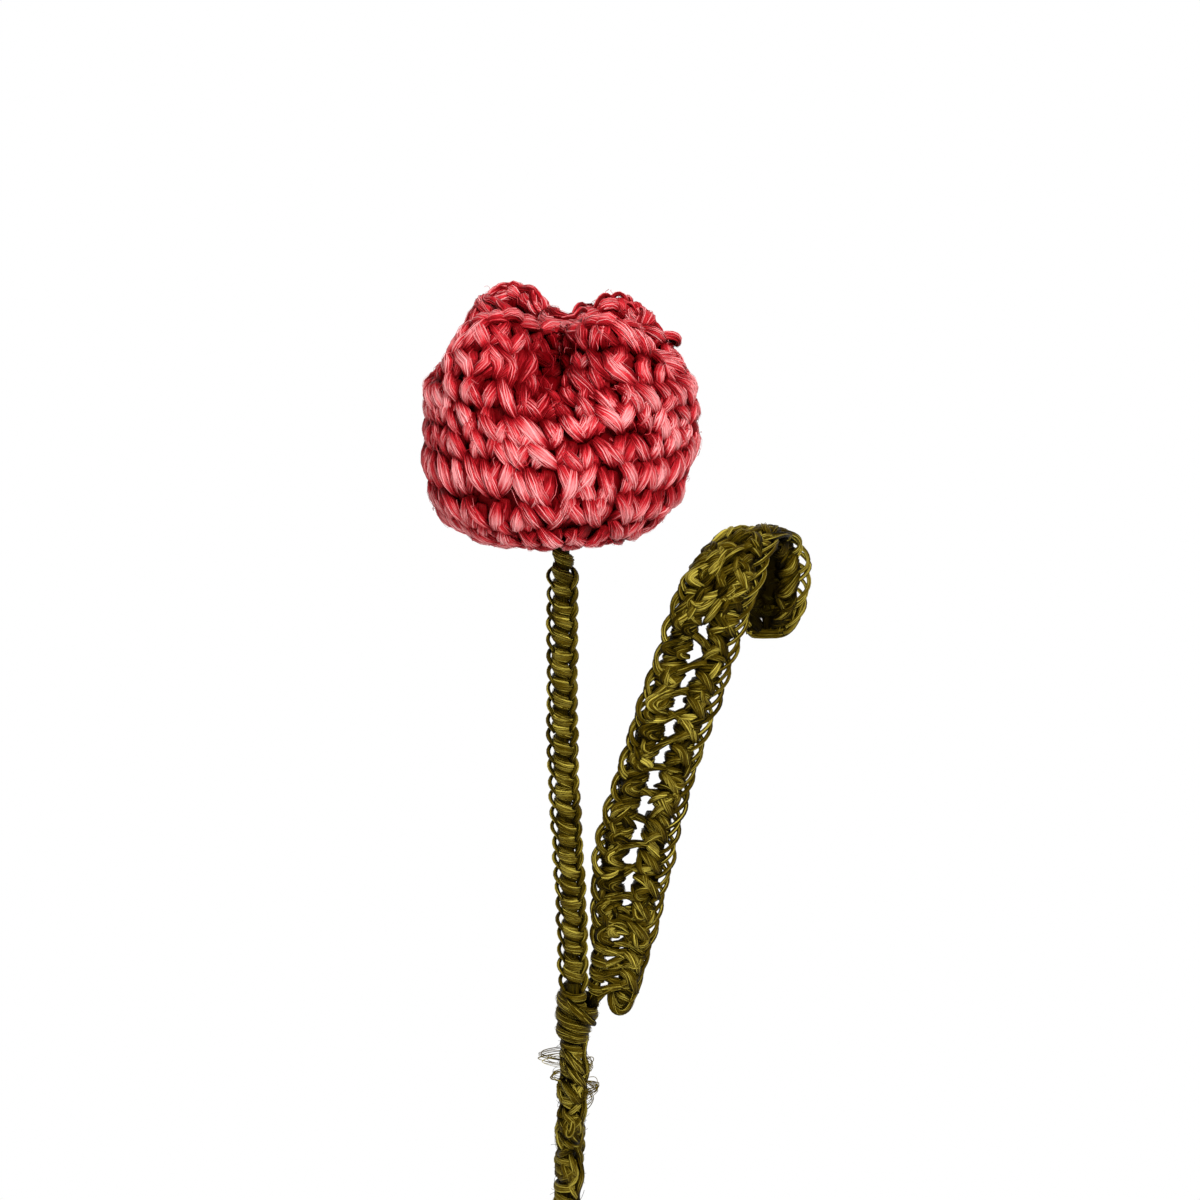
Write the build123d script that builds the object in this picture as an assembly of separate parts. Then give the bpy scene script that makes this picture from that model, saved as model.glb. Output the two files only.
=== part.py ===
from build123d import *
import math
import os

os.makedirs("parts", exist_ok=True)

# A crocheted tulip on a wire stem, in millimetres.
# +Z is up, the foot of the stem is at the origin and the front of the flower faces -Y.

# Stem
WIRE_D = 2.0
WIRE_CLEARANCE = 0.15     # all round, between a wire and the yarn worked over it
FOOT_LENGTH = 128.0       # straight lower stretch, the part that stands in a vase
NECK_HEIGHT = 275.5       # point where the stem bends under the flower
LOWER_SLEEVE_D = 6.2
UPPER_CORE_D = 4.8
EDGE_RIDGE_D = 1.9        # chain edges along both sides of the upper sleeve
EDGE_RIDGE_OUT = 2.75
SLEEVE_JOIN_HEIGHT = 174.0
SLEEVE_JOIN_GAP = 0.3
NECK_DOME_R = 2.2
NECK_GAP = 0.7            # between the sleeve's domed top and the flower's base
SWAY = 1.7                # how far the stem leans to the leaf's side, above its straight foot
SWAY_RISE = 22.0
SWAY_LENGTH = 36.0        # stretch that stays leaned over
COUNTER_SWAY = -0.9       # how far it leans the other way, below the neck
COUNTER_DROP = 43.0
NECK_X = -0.3
HOOK_HEIGHT = 24.0        # wire inside the flower, above the neck
HOOK_R = 4.0
HOOK_RETURN = 5.0

# Flower
CUP_X = -0.7
BASE_R = 14.5
BASE_SHIFT = -2.2        # the base sits this far to the side of the belly
CUP_R = 29.6
BELLY_HEIGHT = 21.0       # height of the widest round above the base
RIM_HEIGHT = 56.0         # of the petals, before the trough is cut
RIM_LOBE_R = 23.5
LOBE_HOLD = 5.0           # higher keeps the petals wide for longer before they draw in
PINCH_R = 5.5             # from the axis to the bottom of a fold at the rim
PINCH_HEIGHT = 47.0
PINCH_SHARPNESS = 3.0     # higher keeps the flower round for longer before its folds run in
SIDE_DELAY = 5.0          # how much higher that is for the folds at the two sides
LOBES = 4
LOBE_FULLNESS = 3.4       # higher makes wider petals and narrower folds
LOBE_TURN = -4.0          # degrees, of the whole flower about its axis
LOWER_ROUNDS = 4
UPPER_ROUNDS = 5
ROUND_SWELL = 0.7         # each crochet round stands this far out of the furrows
CUP_WALL = 3.8
STUFFING_CLEARANCE = 0.3
STUFFED_ROUNDS = 6
HOLLOW_OVERRUN = 0.3      # rounds by which the hollow runs out over the rim
TROUGH_LOW = 47.0         # height of the sewn middle between the petals
TROUGH_R = 38.0           # round of the rim, which rises to the front and the back petals
RIM_TILT = 5.4
STITCH_D = 1.6
STITCH_CLEARANCE = 0.2
STITCH_PROUD = 0.6        # end of a stitch that stands out of the fold
STITCH_HEIGHT = 43.0
STITCH_STEP = 2.2

# Leaf
LEAF_FOOT_X = 10.9
LEAF_FOOT_Y = 3.0
LEAF_FOOT_HEIGHT = 173.2
LEAF_RISE = 95.0          # straight stretch up to the curl
LEAF_CURL_R = 9.0
LEAF_DROP = 17.0          # tip that hangs down behind
LEAF_LEAN_LOW = 0.10      # sideways travel for each millimetre of length
LEAF_LEAN_HIGH = 0.334
LEAF_TIP_LEAN = -0.1
LEAF_CURL_SHIFT = 2.6     # sideways travel of the curl over itself
LEAF_BEND_AT = 36.0
LEAF_BEND_SOFTNESS = 8.0
LEAF_HALF_WIDTH = 9.0
LEAF_FOOT_SCALE = 0.55
LEAF_TAPER = 34.0
LEAF_TIP_SCALE = 0.75
LEAF_TIP_ROUNDING = 10.0
BAND_OUT = 4.5            # from the leaf's middle line to the middle of a band
BAND_R = 2.2
BAND_REACH = 2.5          # half of the width that a band's swelling takes
WEB_HALF = 1.0
LADDER_GAPS = 12
LADDER_FIRST = 18.4
LADDER_STEP = 5.95
GAP_LENGTH = 3.6
GAP_WIDTH = 2.5
LEAF_WIRE_D = 1.2
LEAF_WIRE_TURN = 6.0      # from the leaf's tip back to the hairpin of its wire

# Yarn that binds the leaf's wire to the stem
BINDING_YARN_D = 1.3
BINDING_TURNS = 5
BINDING_PITCH = 2.0
BINDING_BELOW_LEAF = 12.2  # from the first turn up to the leaf's foot
BINDING_CLEARANCE = 0.3
TAIL_BELOW = 2.0          # end of the leaf's wire under the first turn of the binding

# How the corners of a bent wire are rounded: the share of the shorter run that an arc may use.
ARC_SHARE = 0.45
TIGHTEST_SHARE = 0.97     # of a turn's own radius, where two arcs meet in a half turn


def bend_radii(points, largest=None):
    """One radius for each corner of a route, as large as its two runs allow."""
    radii = []
    for before, at, after in zip(points, points[1:], points[2:]):
        run_in = Vector(*at) - Vector(*before)
        run_out = Vector(*after) - Vector(*at)
        half_turn = math.radians(run_in.get_angle(run_out)) / 2
        radius = ARC_SHARE * min(run_in.length, run_out.length) / math.tan(half_turn)
        radii.append(min(radius, largest) if largest else radius)
    return radii


def tube_along(path, diameter):
    """A round bar swept along a path of lines and arcs."""
    start = Plane(origin=path @ 0, z_dir=path % 0)
    return sweep(start * Circle(diameter / 2), path=path)


# Route of the stem: straight foot, a lean to the leaf's side, a lean back, then up into the flower.
cup_base = NECK_HEIGHT + NECK_DOME_R + NECK_GAP
stem_route = [
    (0, 0, 0),
    (0, 0, FOOT_LENGTH),
    (SWAY, 0, FOOT_LENGTH + SWAY_RISE),
    (SWAY, 0, FOOT_LENGTH + SWAY_RISE + SWAY_LENGTH),
    (COUNTER_SWAY, 0, NECK_HEIGHT - COUNTER_DROP),
    (NECK_X, 0, NECK_HEIGHT),
]
lean = (NECK_X - COUNTER_SWAY) / COUNTER_DROP
hook_top = NECK_HEIGHT + HOOK_HEIGHT
hook_x = NECK_X + lean * HOOK_HEIGHT
hook_route = [
    (hook_x, 0, hook_top),
    (hook_x + 2 * HOOK_R, 0, hook_top),
    (hook_x + 2 * HOOK_R, 0, hook_top - HOOK_R - HOOK_RETURN),
]
wire_route = stem_route[:-1] + hook_route
stem_radii = bend_radii(stem_route)
hook_radii = 2 * [TIGHTEST_SHARE * HOOK_R]
stem_path = FilletPolyline(*stem_route, radius=stem_radii)
wire_path = FilletPolyline(*wire_route, radius=stem_radii + hook_radii)
print("stem bends, radius in mm:", [round(r) for r in stem_radii])

stem_wire = tube_along(wire_path, WIRE_D)
wire_room = tube_along(wire_path, WIRE_D + 2 * WIRE_CLEARANCE)


def stem_sleeves():
    """The two crocheted sleeves: a round lower one, and an upper one with a chain edge on each side."""
    join = Plane.XY.offset(SLEEVE_JOIN_HEIGHT)
    lower_end = Plane.XY.offset(SLEEVE_JOIN_HEIGHT - SLEEVE_JOIN_GAP)
    lower = split(tube_along(stem_path, LOWER_SLEEVE_D), bisect_by=lower_end, keep=Keep.BOTTOM)
    ridge = Circle(EDGE_RIDGE_D / 2)
    section = Circle(UPPER_CORE_D / 2)
    section += Pos(EDGE_RIDGE_OUT) * ridge
    section += Pos(-EDGE_RIDGE_OUT) * ridge
    upper = split(sweep(section, path=stem_path), bisect_by=join, keep=Keep.TOP)
    upper += Pos(NECK_X, 0, NECK_HEIGHT) * Sphere(NECK_DOME_R)
    return lower - wire_room, upper - wire_room


lower_stem_sleeve, upper_stem_sleeve = stem_sleeves()


def petal_radius(height):
    """Radius of the petals at a height: they draw in only near the rim."""
    risen = max(0.0, (height - BELLY_HEIGHT) / (RIM_HEIGHT - BELLY_HEIGHT))
    return CUP_R - (CUP_R - RIM_LOBE_R) * risen**LOBE_HOLD


def fold_depth(height, direction):
    """How deep a fold is at a height: it runs in late and fast, and later at the two sides."""
    drawn = min(1.0, max(0.0, (height - BELLY_HEIGHT) / (PINCH_HEIGHT - BELLY_HEIGHT)))
    sharpness = PINCH_SHARPNESS + SIDE_DELAY * math.cos(direction) ** 2
    return (petal_radius(height) - PINCH_R) * drawn**sharpness


# The flower stands with one fold to the front.
cup_turn = math.radians(180 / LOBES + LOBE_TURN)


def cup_section(rounds, inset):
    """One closed outline of the flower, after a number of rounds, moved inwards by an inset.

    Up to the belly the rounds widen along a quarter of an ellipse, and above it they stand one
    over the other and fold into petals. Each petal is four arcs through points of that outline.
    """
    if rounds <= LOWER_ROUNDS:
        climb = math.radians(90 * rounds / LOWER_ROUNDS)
        height = inset + (BELLY_HEIGHT - inset) * (1 - math.cos(climb))
        lobe = BASE_R + (CUP_R - BASE_R) * math.sin(climb)
    else:
        share = (rounds - LOWER_ROUNDS) / UPPER_ROUNDS
        height = BELLY_HEIGHT + share * (RIM_HEIGHT - BELLY_HEIGHT)
        lobe = petal_radius(height)
    shift = BASE_SHIFT * max(0.0, 1 - height / BELLY_HEIGHT)

    def outline(angle):
        direction = angle + cup_turn
        wave = abs(math.sin(LOBES * angle / 2)) ** LOBE_FULLNESS
        radius = lobe - fold_depth(height, direction) * wave
        return Vector(shift + radius * math.cos(direction), radius * math.sin(direction))

    points = []
    steps = 8 * LOBES
    for step in range(steps):
        angle = 2 * math.pi * step / steps
        along = (outline(angle + 0.01) - outline(angle - 0.01)).normalized()
        inwards = Vector(-along.Y, along.X)
        point = outline(angle) + inwards * inset
        points.append(Vector(point.X, point.Y, height))
    points.append(points[0])
    arcs = [ThreePointArc(*points[k : k + 3]) for k in range(0, steps, 2)]
    return make_face(Wire(arcs))


cup_place = Pos(CUP_X, 0, cup_base)
all_rounds = LOWER_ROUNDS + UPPER_ROUNDS


def cup_trough():
    """What is cut off the rim: a wide round from side to side, so that the petals stand up at the front
    and the back of the sewn middle, and more on one side."""
    rim_middle = Pos(CUP_X, 0, cup_base + TROUGH_LOW) * Rot(0, RIM_TILT, 0)
    return rim_middle * Pos(0, 0, TROUGH_R) * Rot(0, 90, 0) * Cylinder(TROUGH_R, 4 * CUP_R)


def closing_stitches(diameter):
    """Two crossed stitches that pull opposite folds together, one just above the other."""
    stitches = []
    for number in range(2):
        height = STITCH_HEIGHT + number * STITCH_STEP
        direction = LOBE_TURN + 90 * number
        fold = petal_radius(height) - fold_depth(height, math.radians(direction))
        reach = fold + STITCH_PROUD
        place = cup_place * Pos(0, 0, height) * Rot(0, 0, direction)
        stitches.append(place * Rot(0, 90, 0) * Cylinder(diameter / 2, 2 * reach))
    return stitches


half_rounds = [n / 2 for n in range(2 * all_rounds + 1)]
swells = [-ROUND_SWELL if n % 2 else 0.0 for n in range(len(half_rounds))]
cup_outside = loft([cup_section(n, s) for n, s in zip(half_rounds, swells)], ruled=True)
hollow_rounds = [*range(all_rounds), all_rounds + HOLLOW_OVERRUN]
cup_hollow = loft([cup_section(n, CUP_WALL) for n in hollow_rounds], ruled=True)
flower_cup = cup_place * (cup_outside - cup_hollow) - cup_trough() - wire_room
for passage in closing_stitches(STITCH_D + 2 * STITCH_CLEARANCE):
    flower_cup -= passage
closing_stitch = Compound(children=closing_stitches(STITCH_D))

stuffing_inset = CUP_WALL + STUFFING_CLEARANCE
cup_stuffing = loft([cup_section(n, stuffing_inset) for n in range(STUFFED_ROUNDS + 1)], ruled=True)
cup_stuffing = cup_place * cup_stuffing - wire_room

# The leaf is a strip on a sheet that rises, curls over backwards and hangs down again.
leaf_curl = math.pi * LEAF_CURL_R
leaf_length = LEAF_RISE + leaf_curl + LEAF_DROP
binding_foot = LEAF_FOOT_HEIGHT - BINDING_BELOW_LEAF


def leaf_middle(along):
    """Sideways place of the leaf's middle line: two leans with a soft bend between, the curl's shift and
    the tip's own lean."""
    rising = min(along, LEAF_RISE + leaf_curl)
    past = rising - LEAF_BEND_AT
    bent = (past + math.hypot(past, LEAF_BEND_SOFTNESS)) / 2
    leaned = LEAF_LEAN_LOW * rising + (LEAF_LEAN_HIGH - LEAF_LEAN_LOW) * bent
    curled = max(0.0, rising - LEAF_RISE) / LEAF_CURL_R
    shifted = LEAF_CURL_SHIFT * math.sin(curled / 2) ** 2
    return leaned + shifted + LEAF_TIP_LEAN * (along - rising)


def leaf_scale(along):
    """Width of the leaf against its full width: narrow at the foot, rounded at the tip."""
    grown = math.sin(math.radians(90 * min(1.0, along / LEAF_TAPER)))
    scale = LEAF_FOOT_SCALE + (1 - LEAF_FOOT_SCALE) * grown
    past = max(0.0, along - leaf_length + LEAF_TIP_ROUNDING) / LEAF_TIP_ROUNDING
    return scale * (1 - (1 - LEAF_TIP_SCALE) * past**2)


def leaf_point(along, across):
    """A point of the sheet: how far along it, and how far to the side of the leaf's foot."""
    curled = min(max(along - LEAF_RISE, 0.0), leaf_curl) / LEAF_CURL_R
    hanging = max(along - LEAF_RISE - leaf_curl, 0.0)
    back = LEAF_CURL_R * (1 - math.cos(curled))
    up = min(along, LEAF_RISE) + LEAF_CURL_R * math.sin(curled) - hanging
    return Vector(LEAF_FOOT_X + across, LEAF_FOOT_Y + back, LEAF_FOOT_HEIGHT + up)


def leaf_plane(along):
    """Plane square to the leaf's middle line, with its X across the leaf."""
    step = 0.05
    here = leaf_point(along, leaf_middle(along))
    ahead = leaf_point(along + step, leaf_middle(along + step))
    behind = leaf_point(along - step, leaf_middle(along - step))
    z_dir = (ahead - behind).normalized()
    y_dir = z_dir.cross(Vector(1, 0, 0)).normalized()
    return Plane(origin=here, x_dir=y_dir.cross(z_dir), z_dir=z_dir)


def leaf_section(along):
    """Cut across the leaf: two swollen bands, a thin web between them and thin edges outside."""
    inner, outer = BAND_OUT - BAND_REACH, BAND_OUT + BAND_REACH
    edge = LEAF_HALF_WIDTH - 0.8 * WEB_HALF
    side = [
        Line((-edge, WEB_HALF), (-outer, WEB_HALF)),
        ThreePointArc((-outer, WEB_HALF), (-BAND_OUT, BAND_R), (-inner, WEB_HALF)),
        Line((-inner, WEB_HALF), (inner, WEB_HALF)),
        ThreePointArc((inner, WEB_HALF), (BAND_OUT, BAND_R), (outer, WEB_HALF)),
        Line((outer, WEB_HALF), (edge, WEB_HALF)),
        ThreePointArc((edge, WEB_HALF), (LEAF_HALF_WIDTH, 0), (edge, -WEB_HALF)),
    ]
    other = [edge_part.rotate(Axis.Z, 180) for edge_part in side]
    return leaf_plane(along) * scale(make_face(Wire([*side, *other])), by=leaf_scale(along))


def leaf_stations():
    """Places along the leaf where its outline bends: the taper, the lean, the curl and the tip."""
    taper = [LEAF_TAPER * share for share in (0, 0.15, 0.35, 0.6, 0.85)]
    lean_from = LEAF_BEND_AT + LEAF_BEND_SOFTNESS
    bend = [lean_from - LEAF_BEND_SOFTNESS / 2, lean_from, lean_from + 2 * LEAF_BEND_SOFTNESS]
    curl = [LEAF_RISE + leaf_curl * part / 6 for part in range(7)]
    tip = [leaf_length - LEAF_TIP_ROUNDING * share for share in (0.8, 0.4, 0.15, 0)]
    return taper + bend + curl + tip


def leaf_wire_route():
    """Up one band, over the curl, across at the tip and back down the other band."""
    quarter = leaf_curl / 4
    turn = leaf_length - LEAF_WIRE_TURN

    def band(side, along):
        return leaf_point(along, leaf_middle(along) + side * BAND_OUT * leaf_scale(along))

    def crown(side, along, back):
        at = band(side, along)
        return Vector(at.X, LEAF_FOOT_Y + back, LEAF_FOOT_HEIGHT + LEAF_RISE + LEAF_CURL_R)

    runs = []
    for side in (-1, 1):
        low = [band(side, LEAF_TAPER * share) for share in (0.06, 0.5)]
        low.append(band(side, LEAF_BEND_AT + LEAF_BEND_SOFTNESS / 2))
        top = [crown(side, LEAF_RISE + quarter, 0),
               crown(side, LEAF_RISE + 3 * quarter, 2 * LEAF_CURL_R)]
        runs.append([*low, *top, band(side, turn)])
    tail_x = leaf_tail_x()
    exit_height = binding_foot + BINDING_TURNS * BINDING_PITCH + BINDING_YARN_D
    tail = [Vector(tail_x, 0, binding_foot - TAIL_BELOW), Vector(tail_x, 0, exit_height)]
    return tail + runs[0] + runs[1][::-1]


def stem_x(height):
    """Sideways place of the stem's middle at a height, on the straight runs of its route."""
    for low, high in zip(stem_route, stem_route[1:]):
        if low[2] <= height <= high[2]:
            return low[0] + (high[0] - low[0]) * (height - low[2]) / (high[2] - low[2])
    return NECK_X


def leaf_tail_x():
    """The leaf's wire lies against the stem, under the binding."""
    middle = binding_foot + BINDING_TURNS * BINDING_PITCH / 2
    return stem_x(middle) + LOWER_SLEEVE_D / 2 + BINDING_CLEARANCE + LEAF_WIRE_D / 2


leaf_route = [tuple(point) for point in leaf_wire_route()]
leaf_radii = bend_radii(leaf_route, largest=TIGHTEST_SHARE * LEAF_CURL_R)
print("leaf wire bends, radius in mm:", [round(r, 1) for r in leaf_radii])
leaf_path = FilletPolyline(*leaf_route, radius=leaf_radii)
leaf_wire = tube_along(leaf_path, LEAF_WIRE_D)

leaf_blade = loft([leaf_section(along) for along in leaf_stations()], ruled=True)
leaf_blade -= tube_along(leaf_path, LEAF_WIRE_D + 2 * WIRE_CLEARANCE)
for number in range(LADDER_GAPS):
    gap_at = leaf_plane(LADDER_FIRST + number * LADDER_STEP)
    leaf_blade -= gap_at * Box(GAP_WIDTH, 4 * WEB_HALF, GAP_LENGTH)


def binding_path():
    """Turns round the stem and the leaf's wire, each of two half-turn arcs, with straight ends."""
    left = stem_x(binding_foot) - LOWER_SLEEVE_D / 2
    right = leaf_tail_x() + LEAF_WIRE_D / 2
    middle = (left + right) / 2
    radius = (right - left) / 2 + BINDING_CLEARANCE + BINDING_YARN_D / 2

    def at(quarter_turns):
        angle = math.radians(90 * quarter_turns)
        height = binding_foot + quarter_turns / 4 * BINDING_PITCH
        return Vector(middle + radius * math.cos(angle), radius * math.sin(angle), height)

    halves = range(0, 4 * BINDING_TURNS, 2)
    turns = [ThreePointArc(at(q), at(q + 1), at(q + 2)) for q in halves]
    start, end = turns[0], turns[-1]
    lead_in = Line((start @ 0) - (start % 0) * BINDING_YARN_D, start @ 0)
    lead_out = Line(end @ 1, (end @ 1) + (end % 1) * BINDING_YARN_D)
    return Wire([lead_in, *turns, lead_out])


binding_wire = binding_path()
leaf_binding = tube_along(binding_wire, BINDING_YARN_D)
per_turn = 24
samples = [binding_wire @ (n / (per_turn * BINDING_TURNS)) for n in range(per_turn * BINDING_TURNS + 1)]
near = min(
    (a - b).length
    for i, a in enumerate(samples)
    for b in samples[i + per_turn // 2 :]
)
print("binding, least gap between turns in mm:", round(near - BINDING_YARN_D, 2))

nodes = {
    "stem_wire": stem_wire,
    "lower_stem_sleeve": lower_stem_sleeve,
    "upper_stem_sleeve": upper_stem_sleeve,
    "leaf_binding": leaf_binding,
    "flower_cup": flower_cup,
    "cup_stuffing": cup_stuffing,
    "closing_stitch": closing_stitch,
    "leaf_wire": leaf_wire,
    "leaf_blade": leaf_blade,
}
for name, solid in nodes.items():
    export_step(solid, f"parts/{name}.step")
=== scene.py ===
import bpy
import numpy as np
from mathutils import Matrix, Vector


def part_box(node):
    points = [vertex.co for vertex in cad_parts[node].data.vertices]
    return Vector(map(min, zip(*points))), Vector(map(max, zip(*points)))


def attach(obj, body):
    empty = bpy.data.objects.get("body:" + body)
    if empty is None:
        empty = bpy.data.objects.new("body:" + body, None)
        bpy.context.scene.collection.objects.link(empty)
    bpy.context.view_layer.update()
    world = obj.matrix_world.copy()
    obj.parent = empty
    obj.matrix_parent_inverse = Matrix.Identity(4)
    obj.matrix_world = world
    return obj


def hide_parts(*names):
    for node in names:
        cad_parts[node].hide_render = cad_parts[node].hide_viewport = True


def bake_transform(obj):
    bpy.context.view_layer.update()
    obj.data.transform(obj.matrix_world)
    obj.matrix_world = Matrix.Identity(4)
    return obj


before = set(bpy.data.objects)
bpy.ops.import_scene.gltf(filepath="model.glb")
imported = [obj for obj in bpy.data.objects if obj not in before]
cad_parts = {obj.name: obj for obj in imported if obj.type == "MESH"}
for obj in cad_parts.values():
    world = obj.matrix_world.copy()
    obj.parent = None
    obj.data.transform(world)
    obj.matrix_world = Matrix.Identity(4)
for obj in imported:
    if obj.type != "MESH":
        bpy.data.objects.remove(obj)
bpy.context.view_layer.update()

# The stem's wire: one length of plain drawn steel wire, hidden in the crochet but for its cut end at the
# foot. It runs up through the neck into the flower and ends in a hook that holds the filling, and it bends
# at the neck.
MM = 0.001
WIRE_R = 1.0
WIRE_SIDES = 8
UV_JUMP = 7.3
NECK_HEIGHT = 275.5
CUP_BASE = 278.4
STEM_HEIGHTS = (0, 128, 150, 186, 232.5, NECK_HEIGHT)
STEM_OFFSETS = (0, 0, 1.7, 1.7, -0.9, -0.3)
CORNER_SOFTNESS = 14
HOOK_RISE = 24
HOOK_R = 4
HOOK_RETURN = 5
WIRE_POINTS = 120
BEND_POINTS = 13
STEEL = (0.42, 0.40, 0.37, 1)
DRAWN_LINES = (0.05, 4, 1)
PATCH_SCALE = 160.0
STEEL_ROUGHNESS = (0.26, 0.2)


def unit(vectors):
    """Each vector divided by its own length."""
    return vectors / np.maximum(np.linalg.norm(vectors, axis=-1, keepdims=True), 1e-9)


def stem_line(height):
    """The stem's middle at each height: straight runs between the stem's points, averaged over a stretch
    above and below, which rounds their corners."""
    stretch = np.linspace(-CORNER_SOFTNESS, CORNER_SOFTNESS, 9)
    offset = np.interp(height[..., None] + stretch, STEM_HEIGHTS, STEM_OFFSETS).mean(axis=-1)
    return np.stack([offset, np.zeros_like(offset), height], axis=-1)


def ring_stacks(rings, shade):
    """A skin over stacks of rings, given as (stacks, rows, sides, 3): a quad for each side between a row
    and the next, and strips of quads that close the first and last ring. The UV map holds millimetres:
    the length along the stack, and the way round it with a jump from each stack to the next."""
    stacks, rows, sides = rings.shape[:3]
    index = np.arange(stacks * rows * sides).reshape(stacks, rows, sides)
    ahead = np.roll(index, -1, axis=2)
    walls = np.stack([index[:, :-1], index[:, 1:], ahead[:, 1:], ahead[:, :-1]], axis=-1).reshape(-1, 4)
    low = np.arange(sides // 2 - 1)
    strip = np.stack([low, low + 1, sides - 2 - low, sides - 1 - low], axis=-1)
    first = index[:, 0][:, strip].reshape(-1, 4)
    last = index[:, -1][:, strip[:, ::-1]].reshape(-1, 4)
    steps = np.linalg.norm(np.diff(rings.mean(axis=2), axis=1), axis=-1)
    length = np.concatenate([np.zeros((stacks, 1)), np.cumsum(steps, axis=1)], axis=1)
    step = np.linalg.norm(rings - np.roll(rings, 1, axis=2), axis=-1).mean(axis=2).max(axis=1)
    u = np.broadcast_to(length[:, :, None], index.shape).ravel()
    v = np.arange(sides) * step[:, None, None] + UV_JUMP * np.arange(stacks)[:, None, None]
    v = np.broadcast_to(v, index.shape).ravel()
    quads = np.concatenate([walls, first, last])
    uv = np.stack([u[quads], v[quads]], axis=-1)
    next_side = np.repeat(step, (rows - 1) * sides)[:, None]
    uv[: len(walls), 2:, 1] = uv[: len(walls), :2, 1][:, ::-1] + next_side
    shade = np.reshape(shade, shade.shape + (1,) * (3 - shade.ndim))
    return rings.reshape(-1, 3), quads, uv, np.broadcast_to(shade, index.shape).ravel()


def strand_frame(paths, outward):
    """Two directions square to each path: sideways, and as near to outward as that allows."""
    along = unit(np.gradient(paths, axis=1))
    side = unit(np.cross(along, outward))
    return side, np.cross(side, along)


def strands(paths, outward, radius, shade, sides=4):
    """Round strands: a polygon of the given radius carried along each path, square to it."""
    side, out = strand_frame(paths, outward)
    angle = 2 * np.pi * (np.arange(sides) + 0.5) / sides - np.pi / 2
    spokes = np.cos(angle)[:, None] * side[:, :, None] + np.sin(angle)[:, None] * out[:, :, None]
    reach = np.broadcast_to(radius, paths.shape[:2])
    rings = paths[:, :, None] + spokes * reach[:, :, None, None]
    return ring_stacks(rings, np.broadcast_to(shade, paths.shape[:2]))


def joined(*skins):
    """Several skins as one: the corners of each later skin count on from the points before it."""
    starts = np.cumsum([0] + [len(skin[0]) for skin in skins[:-1]])
    points, quads, uv, shade = zip(*skins)
    quads = np.concatenate([corners + start for corners, start in zip(quads, starts)])
    return np.concatenate(points), quads, np.concatenate(uv), np.concatenate(shade)


def new_piece(name, skin, material):
    """A mesh object of smooth quads, with the skin's UV map and its shade from dark to light as an
    attribute: the yarn's own uneven tone, with painted shade and painted highlight."""
    points, quads, uv, shade = skin
    mesh = bpy.data.meshes.new(name)
    mesh.vertices.add(len(points))
    mesh.vertices.foreach_set("co", (points * MM).ravel())
    mesh.loops.add(quads.size)
    mesh.loops.foreach_set("vertex_index", quads.ravel().astype(np.int32))
    mesh.polygons.add(len(quads))
    mesh.polygons.foreach_set("loop_start", np.arange(0, quads.size, 4, dtype=np.int32))
    mesh.polygons.foreach_set("use_smooth", np.ones(len(quads), dtype=bool))
    mesh.uv_layers.new(name="fibre").uv.foreach_set("vector", uv.ravel().astype(np.float32))
    mesh.attributes.new("shade", "FLOAT", "POINT").data.foreach_set("value", shade.astype(np.float32))
    mesh.update(calc_edges=True)
    mesh.materials.append(material)
    piece = bpy.data.objects.new(name, mesh)
    bpy.context.collection.objects.link(piece)
    return piece


class Value:
    """A value in a material's node tree. Sums, differences and products of values add Math nodes."""

    def __init__(self, tree, socket=None):
        self.tree = tree
        self.socket = socket

    def node(self, kind, settings=(), sockets=(), output=0):
        """Adds a node of that kind, sets its settings and then its sockets, and gives one of its
        outputs."""
        made = self.tree.nodes.new(kind)
        for name, setting in dict(settings).items():
            if name == "stops":
                while len(made.color_ramp.elements) < len(setting):
                    made.color_ramp.elements.new(0.5)
                for element, (place, colour) in zip(made.color_ramp.elements, setting):
                    element.position = place
                    element.color = colour
            else:
                setattr(made, name, setting)
        for name, value in dict(sockets).items():
            if isinstance(value, Value):
                self.tree.links.new(value.socket, made.inputs[name])
            else:
                made.inputs[name].default_value = value
        return Value(self.tree, made.outputs[output] if made.outputs else None)

    def math(self, operation, first, second):
        """Adds a Math node that works on two values or numbers."""
        return self.node("ShaderNodeMath", {"operation": operation}, {0: first, 1: second})

    def __add__(self, other):
        return self.math("ADD", self, other)

    def __radd__(self, other):
        return self.math("ADD", other, self)

    def __sub__(self, other):
        return self.math("SUBTRACT", self, other)

    def __rsub__(self, other):
        return self.math("SUBTRACT", other, self)

    def __mul__(self, other):
        return self.math("MULTIPLY", self, other)

    def __rmul__(self, other):
        return self.math("MULTIPLY", other, self)


def new_material(name):
    """An empty node material, and the value that its nodes start from."""
    material = bpy.data.materials.new(name)
    material.use_nodes = True
    material.node_tree.nodes.clear()
    return material, Value(material.node_tree)


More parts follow.
